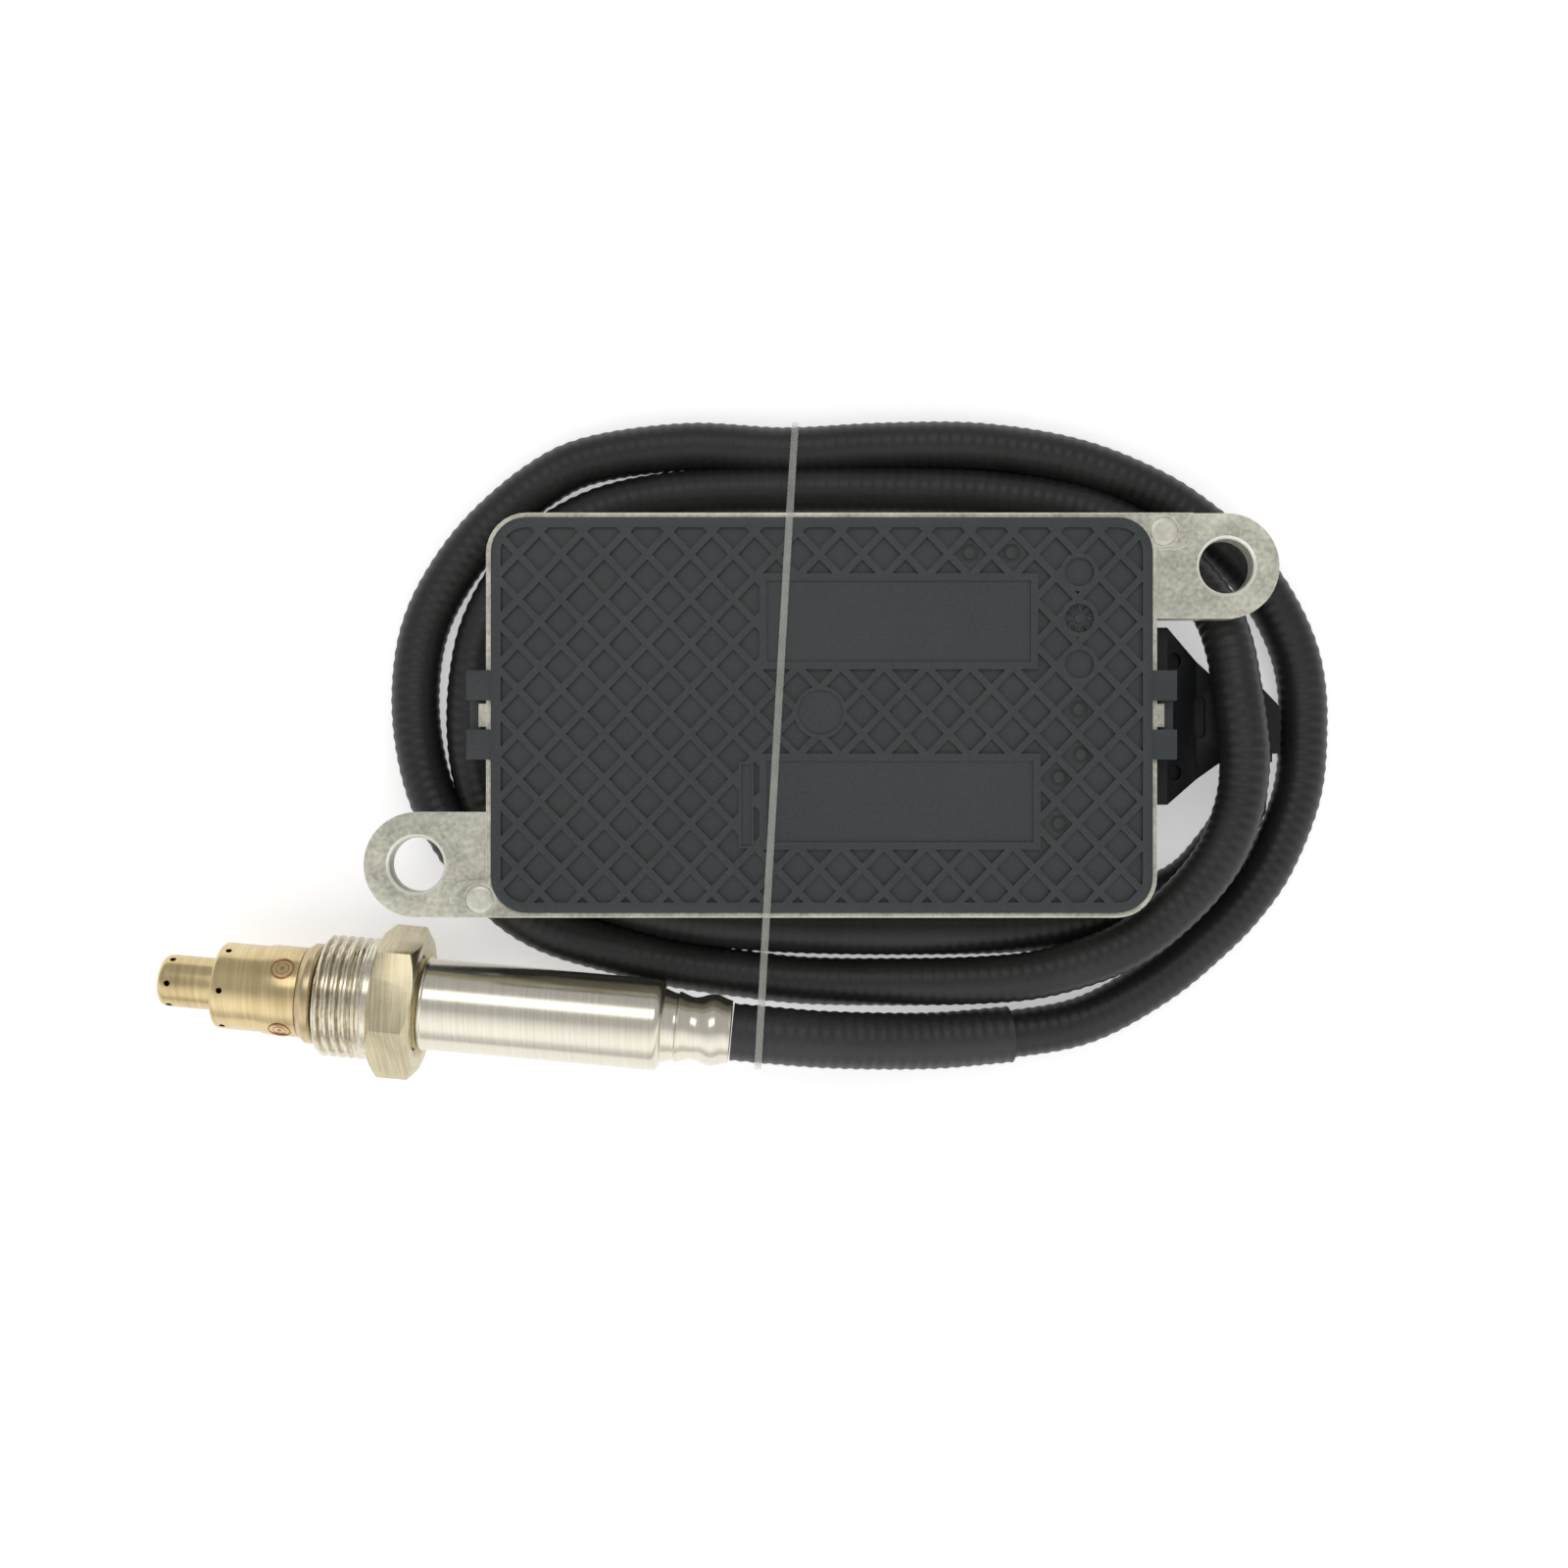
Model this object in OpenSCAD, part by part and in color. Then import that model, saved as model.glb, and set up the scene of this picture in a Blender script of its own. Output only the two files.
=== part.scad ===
// Nitrogen oxide sensor for an exhaust: control module, coiled cable and screwed probe.
// Lengths are in millimetres and +Z is up. Heights in the modules are measured from the
// surface that the object lies on. The origin of the finished part is midway between the
// two ear holes, on the underside of the ears.

/* [Module housing] */
// Length of the housing across its rim
module_l = 108; // [104:0.5:112]
// Width of the housing across its rim
module_w = 65.2; // [63:0.2:68]
// Corner radius of the rim
rim_r = 6.5; // [5:0.5:8]
// Height of the rim above the surface the object lies on
rim_z = 20; // [19.5:0.5:23]
// Thickness of the rim flange
rim_t = 3; // [2.5:0.25:3.5]
// How far the side walls stand in from the rim
wall_in = 1.8; // [1.5:0.1:2]
// Thickness of the cast walls
wall_t = 2.2; // [1.8:0.1:2.4]
// Corner radius of the side walls
body_r = 10; // [9:0.5:12]
// Height of the narrow well under the body
well_h = 8.7; // [8.2:0.1:9]
// How far the well stands in from the rim
well_in = 7.3; // [7:0.1:8.5]
// Depth of the channel across the underside of the well
channel_d = 1; // [0.9:0.1:1.4]
// Length of that channel
channel_l = 60; // [50:1:70]

/* [Mounting ears] */
// Diameter of the ear holes
ear_hole_d = 8.8; // [7:0.1:9.5]
// Radius of the round end of an ear
ear_r = 8.5; // [7.5:0.1:9]
// Thickness of an ear
ear_t = 4; // [3.5:0.25:4.5]
// Drop from the rim to the top of an ear
ear_drop = 0.6; // [0.4:0.1:1]
// Distance along the length from the rim to an ear hole
ear_out = 11.4; // [10:0.2:13]
// Width of the raised corner pad on an ear
pad_w = 5.9; // [5:0.1:6.5]
// Radius of the ejector mark on the corner pad
mark_r = 2.5; // [2:0.1:2.8]

/* [Cover] */
// Width of the rim strip that shows round the cover
lip_t = 0.8; // [0.6:0.1:1]
// Gap between the cover and the lip
cover_fit = 0.15; // [0.1:0.05:0.25]
// Depth of the seat that the cover lies in
seat_d = 1.5; // [1.2:0.1:1.8]
// Rise of the cover plate above the rim
plate_rise = 0.6; // [0.4:0.1:0.9]
// Height of the crossed ribs on the cover
rib_h = 0.7; // [0.5:0.1:0.9]
// Width of the crossed ribs
rib_w = 1.15; // [1:0.05:1.4]
// Distance from one diamond to the next along the cover
cell_pitch = 6.9; // [6.6:0.1:7.6]
// Distance from one diamond to the next across the cover
row_pitch = 7.2; // [6.8:0.1:7.8]
// Width of the flat border round the ribs
border_w = 1.6; // [1.2:0.1:2]
// Width of one clip leg
clip_w = 4.8; // [4:0.1:5]
// Distance between the two legs of a clip
clip_gap = 4.7; // [4:0.1:5.4]
// How far a clip stands out past the rim
clip_out = 3; // [2.8:0.1:3.2]

/* [Circuit board] */
// Thickness of the circuit board
board_t = 1.6; // [1.2:0.1:2]
// Gap between the board and the walls
board_gap = 0.5; // [0.3:0.1:0.8]
// Thread diameter of the board screws
screw_d = 2.5; // [2:0.1:3]
// Height of the capacitors under the board
cap_h = 6; // [5:0.5:6.5]
// Thickness of the heat pad under the drivers
heat_pad_t = 0.7; // [0.5:0.1:1]

/* [Connector block] */
// Width of the block where it meets the housing
block_w = 29; // [27:0.5:30]
// Height of the nose above the surface
nose_z = 10.4; // [10:0.1:10.6]
// Half the width of the nose
nose_half = 6; // [5.8:0.1:6.4]
// Distance from the rim to the end of the nose
nose_out = 22.4; // [22:0.1:23]
// Number of blades in the socket
blade_count = 4; // [3:1:4]
// Thickness of a blade
blade_t = 0.8; // [0.6:0.1:1]

/* [Probe] */
// Outer diameter of the thread on the union nut
thread_d = 20; // [18:0.5:22]
// Size of the hexagon across its flats
hex_af = 22; // [22:0.5:24]
// Thickness of the hexagon
hex_t = 7; // [6.5:0.1:9]
// Length of the thread, with its run-out at the hexagon
thread_len = 9.2; // [8:0.1:10]
// Diameter of the probe's shank inside the nut
shank_d = 12.2; // [11.4:0.2:12.6]
// Diameter of the seat flange in front of the nut
seat_flange_d = 16.5; // [16:0.1:17]
// Running clearance of the nut on the probe
nut_gap = 0.3; // [0.2:0.05:0.4]
// Diameter of the polished rear tube
tube_d = 15; // [14.4:0.2:15.4]
// Length of the rear tube behind the nut up to its shoulder
tube_len = 42; // [36:0.5:46]
// Sheet thickness of the rear tube and the caps
sheet_t = 0.5; // [0.4:0.05:0.6]
// Diameter of the wide cap
outer_cap_d = 14.2; // [13.6:0.1:14.6]
// Length of the wide cap
outer_cap_len = 14; // [12:0.5:16]
// Diameter of the narrow cap
inner_cap_d = 8.6; // [8:0.1:9]
// Length of the narrow cap in front of the wide cap
inner_cap_out = 9.6; // [6:0.2:11]
// Diameter of the gas holes in both caps
gas_hole_d = 1; // [0.8:0.1:1.2]
// Angle that the hexagon is turned from lying flat
nut_turn = 14; // [0:1:30]

/* [Cable] */
// Diameter of the cable
cable_d = 8.2; // [7.6:0.1:8.2]
// Diameter of the end sleeve at the probe
sleeve_d = 9.6; // [9:0.1:9.8]
// Width of the clear band round the coil
band_w = 1.2; // [1:0.1:1.6]
// Thickness of the clear band
band_t = 0.6; // [0.4:0.05:0.65]

/* [Hidden] */
$fn = 64;

// The housing in heights above the surface
cut = 0.01;
ear_z = rim_z - ear_drop - ear_t;
ear_x = module_l / 2 + ear_out;
ear_y = module_w / 2 - ear_r;
ear_root = 10;
pad_fillet = 3;
body_l = module_l - 2 * wall_in;
body_w = module_w - 2 * wall_in;
well_l = module_l - 2 * well_in;
well_w = module_w - 2 * well_in;
well_r = 10;
floor_t = wall_t + channel_d;
shelf_z = well_h + wall_t;
seat_z = rim_z - seat_d;
rim_under = rim_z - rim_t;
cavity_l = body_l - 2 * wall_t;
cavity_w = body_w - 2 * wall_t;
cavity_r = body_r - wall_t;

// Gasket groove between the cavity and the lip
groove_w = 1.4;
groove_d = 1.2;
groove_l = module_l - 2 * lip_t - 2 * groove_w;
groove_wide = module_w - 2 * lip_t - 2 * groove_w;

// Board, its posts and what it carries
board_l = cavity_l - 2 * board_gap;
board_w = cavity_w - 2 * board_gap;
board_z = shelf_z;
board_top = board_z + board_t;
post_x = well_l / 2 - wall_t - 4;
post_y = well_w / 2 - wall_t - 4;
post_r = 3.4;
screw_len = 6;
screw_head_r = screw_d * 0.9;
screw_head_h = screw_d * 0.6;
post_spots = [[post_x, post_y], [-post_x, post_y], [-post_x, -post_y], [post_x, -post_y]];
driver_x = 14.5 - post_x;
driver_spots = [[driver_x, -12], [driver_x, 0], [driver_x, 12]];
driver_size = [15, 9, 4.2];
driver_area = [17, 34];
cap_r = 4;
cap_spots = [[post_x - 22.5, -12], [post_x - 22.5, 0], [post_x - 11.5, -6]];
inductor_spot = [post_x - 14.5, 14];
inductor_size = [11, 11, 4.6];
processor_spot = [6, 2];
processor_size = [14, 14, 1.6];
leg_count = 8;
driver_legs = 5;
leg_w = 0.6;
leg_t = 0.8;

// Cover
cover_l = module_l - 2 * lip_t - 2 * cover_fit;
cover_w = module_w - 2 * lip_t - 2 * cover_fit;
cover_r = rim_r - lip_t - cover_fit;
plate_z = rim_z + plate_rise;
cover_z = plate_z + rib_h;
skirt_t = 1.3;
skirt_h = 2;
// Places of the two bare panels: left, right, lower and upper edge
upper_panel = [-10, 34.7, 7.3, 22.7];
lower_panel = [-10, 35.1, -21.6, -6.2];
side_strip = [-13.3, -10.9, -21.4, -7.5];
panel_frame = 1.2;
panel_sink = 0.35;
// Round details of the cover: centre and radius
gate_spot = [-0.2, 0.4];
gate_r = 4.2;
dial_spots = [[41.3, 22.9], [41.3, 15.5], [41.3, 8.1]];
dial_r = 2.3;
dial_wall = 0.8;
ring_spots = [[41.3, 0.9], [41.7, -6.4], [38.1, -10], [38.1, -17.4], [23.7, 26], [30.4, 26]];
ring_r = 0.9;
ring_t = 0.6;
ring_sink = 0.35;
cell_offset = [-0.39, 0.54];
// Vent under the cover: centre, radius of its recess and of the opening behind it
vent_spot = [-30, 0];
vent_r = 5;
vent_hole_r = 3.2;

// Clips at both ends of the cover
clip_t = 1.5;
clip_y = (clip_gap + clip_w) / 2;
clip_x = module_l / 2 + clip_out;
clip_low = rim_under - 0.1;
clip_bar_h = 1;
catch_out = 1.3;
catch_h = 1.2;
catch_z = clip_low + clip_bar_h + 0.3;

// Connector block
block_x = body_l / 2;
flange_t = 2.5;
block_low = 0.8;
block_top = 15.4;
shoulder_x = block_x + 4.4;
slope_x0 = shoulder_x;
slope_x1 = block_x + 10.3;
nose_x0 = block_x + 12.8;
low_flank = 2.2;
nose_x = module_l / 2 + nose_out;
socket_depth = 7.4;
window_w = 19;
window_h = 3.8;
window_z = 13.1;
seal_w = 1;
seal_t = 1;
socket_x0 = nose_x - socket_depth;
socket_wall = 1.5;
socket_low = 2.5;
socket_high = 8.7;
socket_y = [-4, nose_half - socket_wall];
blade_z = (socket_low + socket_high) / 2;
blade_pitch = 2;
blade_y0 = (socket_y[0] + socket_y[1]) / 2;
blade_end = nose_x - 2.4;
blade_tail = board_l / 2 - 4;
blade_drop_x = block_x + 3.8;
blade_run_z = board_top + 0.4 + blade_t / 2;
slot_spot = [block_x + 10.8, 0];
slot_size = [2, 7];
block_hole_spots = [[block_x + 5.9, 9.2], [block_x + 5.9, -9.2]];

// Cable outlet in the flank of the nose
outlet_x = nose_x - 4.8;
outlet_z = 5.2;
outlet_len = 1.4;
outlet_y = -nose_half - outlet_len;
outlet_wall = 0.45;
outlet_gap = 0.2;
outlet_r = cable_d / 2 + outlet_gap + outlet_wall;
grommet_len = 1.2;
grommet_y = -nose_half + 1.3;

// Probe: stations along its axis from the middle of the hexagon, towards the cable
probe_at = [-67.16, -47.17, 12.3];
probe_yaw = -5.25;
hex_rear = 1.5;
hex_front = hex_rear - hex_t;
nut_front = hex_front - thread_len;
seat_gap = 0.6;
flange_rear = nut_front - seat_gap;
seat_len = 2.7;
flange_front = flange_rear - seat_len;
tube_front = -0.7;
counterbore = tube_front - nut_gap;
spigot_len = 2.5;
spigot_front = flange_front - spigot_len;
cap_front = flange_front - outer_cap_len;
tip = cap_front - inner_cap_out;
tube_end = tube_front + tube_len;
collar_len = 11.2;
collar_end = tube_end + collar_len;
shank_r = shank_d / 2;
tube_r = tube_d / 2;
bore_r = 4.2;
ceramic_gap = 0.1;
ceramic_r = bore_r - ceramic_gap;
body_rear = 4;
element_w = 4.2;
element_t = 1.5;
element_gap = 0.15;
element_front = tip + 4.5;
element_rear = 22;
holder_front = 8;
holder_rear = 26;
holder_r = tube_r - sheet_t - 0.15;
spring_w = 0.7;
lead_r = 0.6;
lead_ring = 2.6;
lead_count = 5;
grommet_front = tube_end + 2.4;
grommet_r = 4.4;

// Cable: points of its route, from the probe's collar to the outlet in the block
ROUTE = [
    [-14.63, -52, 12.3], [-8.5, -52.57, 12.25], [0, -53.4, 11.2], [10, -54, 9], [20, -54.2, 6.8], [32, -53.4, 5.2],
    [45, -51, 4.4], [57, -44.5, 4.2], [65.8, -37.3, 4.2], [71.7, -31.2, 4.2], [76.7, -23.8, 4.2], [81, -12.5, 4.2],
    [82, -1.5, 4.2], [81.5, 7, 4.2], [79.5, 14, 4.2], [75.5, 21.5, 4.2], [70.5, 27.5, 4.2], [64.5, 33, 4.2],
    [56, 38.5, 4.2], [43, 43.5, 4.4], [27, 46, 4.8], [10.5, 46, 5], [-6, 45.2, 5], [-22, 46, 4.8],
    [-38, 44, 4.3], [-47, 40, 4.2], [-56.5, 32, 4.2], [-63, 23.5, 4.2], [-67, 15, 4.2], [-68.5, 5.5, 4.2],
    [-68, -4, 4.2], [-65.5, -13.5, 4.6], [-60.5, -22, 6], [-53.5, -30.2, 7.4], [-45.5, -35.5, 7.4],
    [-34, -39.2, 6.2], [-24, -41.6, 5.2], [-13, -43.2, 5], [-2.5, -44.3, 5], [11, -44.5, 5.4], [27, -44, 7.4],
    [38.2, -42.4, 9.8], [50, -38, 12.2], [58.2, -31.6, 13.7], [64.7, -23.9, 14.5], [68.2, -15.8, 14.9], [69.4, -8, 15.1],
    [69, -1.5, 15.1], [68.2, 5, 14.5], [67.5, 11, 13], [66.2, 16.5, 10.9], [63.8, 21, 9], [60, 25.8, 7.2],
    [55, 30.2, 5.7], [48.8, 33.7, 4.8], [41, 36.2, 4.4], [28, 38, 4.6], [12, 38.5, 5], [-6, 38.5, 5],
    [-22.5, 38, 4.6], [-34.5, 36, 4.3], [-43, 32.4, 4.2], [-49.5, 27.3, 4.2], [-54.6, 20.5, 4.2], [-58, 12, 4.2],
    [-59.3, 0.5, 4.2], [-58.2, -10, 4.2], [-54.5, -19, 4.2], [-47.5, -26, 4.2], [-38, -30.3, 4.2], [-24.5, -33.8, 4.6],
    [-7.5, -35.5, 5], [14, -36, 4.8], [35.5, -35.5, 4.3], [49, -33.3, 4.3], [61, -28.4, 4.3], [67.2, -22.2, 4.5],
    [71, -16, 4.9], [71.6, -11.5, 5.2], [71.6, -6, 5.2]
];
SLEEVE_LAST = 5;
TUBE_SIDES = 10;

// Band: circles and corners that it is stretched over, across the coil and height
band_yaw = -3.3;
band_x = -7;
band_slack = 0.2;
band_left_spot = [-44, 5];
band_top_strand = [45.25, 5];
band_sleeve_spot = [-52.72, 12.2];

// Points of a quarter round, and of a rectangle with round corners
function quarter(cx, cy, r, start, steps = 8) =
    [for (i = [0:steps]) [cx + r * cos(start + 90 * i / steps), cy + r * sin(start + 90 * i / steps)]];
function round_rect(l, w, r) = concat(
    quarter(l / 2 - r, w / 2 - r, r, 0),
    quarter(r - l / 2, w / 2 - r, r, 90),
    quarter(r - l / 2, r - w / 2, r, 180),
    quarter(l / 2 - r, r - w / 2, r, 270));

// Upright slab with round corners between two heights
module slab(l, w, r, low, high) {
    translate([0, 0, low]) linear_extrude(high - low) polygon(round_rect(l, w, r));
}

// Closed ring with round corners between two heights
module frame_ring(l, w, r, t, low, high) {
    translate([0, 0, low]) linear_extrude(high - low) difference() {
        polygon(round_rect(l, w, r));
        polygon(round_rect(l - 2 * t, w - 2 * t, r - t));
    }
}

// Block between two corners
module span(a, b) {
    translate(a) cube(b - a);
}

// Puts the finished part's origin on the underside of the ears
module placed() {
    translate([0, 0, -ear_z]) children();
}

// Repeats a piece turned half a turn about the middle of the module
module both_ends() {
    children();
    rotate([0, 0, 180]) children();
}

// One ear with its raised corner pad, and its hole with a small chamfer
module ear_solid() {
    translate([0, 0, ear_z]) linear_extrude(ear_t) {
        translate([ear_x, ear_y]) circle(ear_r);
        translate([module_l / 2 - ear_root, ear_y - ear_r]) square([ear_out + ear_root, 2 * ear_r]);
    }
    translate([module_l / 2 - ear_root, module_w / 2 - pad_w, ear_z]) linear_extrude(ear_t + ear_drop)
        difference() {
            square([ear_root + pad_w, pad_w]);
            translate([ear_root + pad_w - pad_fillet, 0]) difference() {
                square([pad_fillet + cut, pad_fillet]);
                translate([0, pad_fillet]) circle(pad_fillet);
            }
        }
}

module ear_cuts() {
    chamfer = 0.5;
    hole_r = ear_hole_d / 2;
    translate([ear_x, ear_y, ear_z - 1]) cylinder(h = ear_t + 2, r = hole_r);
    translate([ear_x, ear_y, ear_z + ear_t - chamfer]) cylinder(h = chamfer + cut, r1 = hole_r, r2 = hole_r + chamfer);
    translate([module_l / 2 + pad_w / 2 - 1.9, module_w / 2 - pad_w / 2, rim_z - 0.15]) difference() {
        cylinder(h = 1, r = mark_r);
        translate([0, 0, -cut]) cylinder(h = 2, r = mark_r - 0.35);
    }
}

// Cast aluminium housing: rim, body, well, ears, posts and catches for the clips
module module_housing() {
    color([0.68, 0.67, 0.62]) difference() {
        union() {
            slab(module_l, module_w, rim_r, rim_under, rim_z);
            slab(body_l, body_w, body_r, well_h, rim_under + 1);
            slab(well_l, well_w, well_r, 0, well_h + 1);
            both_ends() ear_solid();
            both_ends() span([module_l / 2 - 1, -1.9, catch_z], [module_l / 2 + catch_out, 1.9, catch_z + catch_h]);
        }
        slab(cavity_l, cavity_w, cavity_r, shelf_z, rim_z + 1);
        slab(module_l - 2 * lip_t, module_w - 2 * lip_t, rim_r - lip_t, seat_z, rim_z + 1);
        frame_ring(groove_l, groove_wide, rim_r - lip_t, groove_w, seat_z - groove_d, seat_z + cut);
        difference() {
            slab(well_l - 2 * wall_t, well_w - 2 * wall_t, well_r - wall_t, floor_t, shelf_z + cut);
            for (p = post_spots) translate([p[0], p[1], 0]) cylinder(h = shelf_z + 1, r = post_r);
            span([driver_spots[0][0] - driver_area[0] / 2, -driver_area[1] / 2, 0],
                 [driver_spots[0][0] + driver_area[0] / 2, driver_area[1] / 2, board_z - heat_pad_t]);
        }
        for (p = post_spots) translate([p[0], p[1], shelf_z - screw_len]) cylinder(h = screw_len + 1, r = screw_d / 2);
        span([-channel_l / 2, -module_w, -1], [channel_l / 2, module_w, channel_d]);
        span([cavity_l / 2 - 1, -window_w / 2, window_z - window_h / 2],
             [block_x + 1, window_w / 2, window_z + window_h / 2]);
        both_ends() ear_cuts();
    }
}

// Flat shape of the ribbed field, without the panels and the round details
module rib_field() {
    difference() {
        polygon(round_rect(cover_l - 2 * border_w, cover_w - 2 * border_w, cover_r - border_w));
        for (p = [upper_panel, lower_panel, side_strip]) translate([p[0], p[2]]) square([p[1] - p[0], p[3] - p[2]]);
        translate(gate_spot) circle(gate_r);
        for (p = dial_spots) translate(p) circle(dial_r + dial_wall);
    }
}

// Diamond cells between the crossed ribs
module diamond_cells() {
    dx = cell_pitch / 2;
    dy = row_pitch / 2;
    rib_gap = 2 * dx * dy / norm([dx, dy]);
    shrink = (rib_gap - rib_w) / rib_gap;
    across = ceil(cover_l / cell_pitch);
    along = ceil(cover_w / row_pitch);
    intersection() {
        rib_field();
        for (i = [-across:across], j = [-along:along])
            if ((i + j) % 2 == 0)
                translate([cell_offset[0] + i * dx, cell_offset[1] + j * dy])
                    scale(shrink) polygon([[dx, 0], [0, dy], [-dx, 0], [0, -dy]]);
    }
}

// One clip: two legs over the lip and a bar that catches under the housing's nose
module clip() {
    for (side = [-1, 1]) {
        span([cover_l / 2 - 1, side * clip_y - clip_w / 2, rim_z + 0.15], [clip_x, side * clip_y + clip_w / 2, plate_z + 0.4]);
        span([clip_x - clip_t, side * clip_y - clip_w / 2, clip_low], [clip_x, side * clip_y + clip_w / 2, plate_z + 0.4]);
    }
    span([module_l / 2 + 0.3, -clip_y, clip_low], [clip_x, clip_y, clip_low + clip_bar_h]);
}

// Moulded cover with crossed ribs, two bare panels, a skirt and two clips
module module_cover() {
    color([0.27, 0.29, 0.31]) difference() {
        union() {
            slab(cover_l, cover_w, cover_r, seat_z, cover_z);
            frame_ring(cavity_l - 0.6, cavity_w - 0.6, cavity_r - 0.3, skirt_t, seat_z - skirt_h, seat_z + cut);
            both_ends() clip();
        }
        translate([0, 0, plate_z]) linear_extrude(rib_h + 1) diamond_cells();
        for (p = [upper_panel, lower_panel])
            span([p[0] + panel_frame, p[2] + panel_frame, cover_z - panel_sink], [p[1] - panel_frame, p[3] - panel_frame, cover_z + 1]);
        span([side_strip[0] + 0.4, side_strip[2] + 0.4, cover_z - panel_sink],
             [side_strip[1] - 0.4, side_strip[3] - 0.4, cover_z + 1]);
        translate([gate_spot[0], gate_spot[1], cover_z - panel_sink]) cylinder(h = 1, r = gate_r - 0.6);
        for (p = dial_spots) translate([p[0], p[1], plate_z]) cylinder(h = rib_h + 1, r = dial_r);
        for (p = ring_spots) translate([p[0], p[1], plate_z - ring_sink]) linear_extrude(ring_sink + cut) difference() {
            circle(ring_r + ring_t, $fn = 32);
            circle(ring_r, $fn = 32);
        }
        translate([vent_spot[0], vent_spot[1], seat_z - 1]) cylinder(h = 1.6, r = vent_r);
        translate([vent_spot[0], vent_spot[1], seat_z - 1]) cylinder(h = 2.2, r = vent_hole_r);
    }
}

// Soft gasket in the groove of the housing
module cover_gasket() {
    color([0.1, 0.1, 0.1])
        frame_ring(groove_l - 0.2, groove_wide - 0.2, rim_r - lip_t - 0.1, groove_w - 0.2, seat_z - groove_d, seat_z);
}

// Breathing membrane in a recess under the cover
module vent_membrane() {
    color([0.92, 0.92, 0.9]) translate([vent_spot[0], vent_spot[1], seat_z + 0.2]) cylinder(h = 0.4, r = vent_r - 0.2);
}

// Circuit board on the shelf of the housing
module circuit_board() {
    color([0.08, 0.32, 0.16]) difference() {
        slab(board_l, board_w, cavity_r - board_gap, board_z, board_top);
        for (p = post_spots) translate([p[0], p[1], board_z - 1]) cylinder(h = board_t + 2, r = screw_d / 2 + 0.2);
    }
}

// Flat packages with a row of legs on two sides
module package(size, legs) {
    span([-size[0] / 2, -size[1] / 2, 0.1], [size[0] / 2, size[1] / 2, size[2]]);
    for (i = [0:legs - 1], side = [-1, 1]) {
        x = -size[0] / 2 + (i + 0.5) * size[0] / legs;
        y = side * (size[1] / 2 + leg_w * 2 / 3);
        span([x - leg_w / 2, y - leg_w, 0], [x + leg_w / 2, y + leg_w, leg_t]);
    }
}

module board_processor() {
    color([0.12, 0.12, 0.13]) translate([processor_spot[0], processor_spot[1], board_top])
        package(processor_size, leg_count);
}

module board_drivers() {
    color([0.12, 0.12, 0.13]) for (p = driver_spots) translate([p[0], p[1], board_top]) package(driver_size, driver_legs);
}

module board_capacitors() {
    color([0.72, 0.73, 0.75]) for (p = cap_spots) translate([p[0], p[1], board_z - cap_h]) cylinder(h = cap_h, r = cap_r);
}

// Shielded coil on top of the board
module board_inductor() {
    side = inductor_size[0] / 2;
    color([0.25, 0.25, 0.26]) translate([inductor_spot[0], inductor_spot[1], board_top]) {
        slab(inductor_size[0], inductor_size[1], 2, 0.3, inductor_size[2]);
        for (x = [-side + 0.3, side - 2.3]) span([x, -2, 0], [x + 2, 2, 0.6]);
    }
}

// Soft pad that carries heat from the board to the housing
module heat_pad() {
    color([0.55, 0.62, 0.68])
        span([driver_spots[0][0] - driver_area[0] / 2 + 0.5, -driver_area[1] / 2 + 0.5, board_z - heat_pad_t],
             [driver_spots[0][0] + driver_area[0] / 2 - 0.5, driver_area[1] / 2 - 0.5, board_z]);
}

// Four pan head screws that hold the board
module board_screws() {
    color([0.75, 0.75, 0.76]) for (p = post_spots) translate([p[0], p[1], board_top]) difference() {
        union() {
            cylinder(h = screw_head_h, r = screw_head_r);
            translate([0, 0, -screw_len + 0.5]) cylinder(h = screw_len, r = screw_d / 2 - 0.05);
        }
        translate([0, 0, screw_head_h - 0.8]) cylinder(h = 1, r = screw_d * 0.3, $fn = 6);
    }
}

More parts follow.
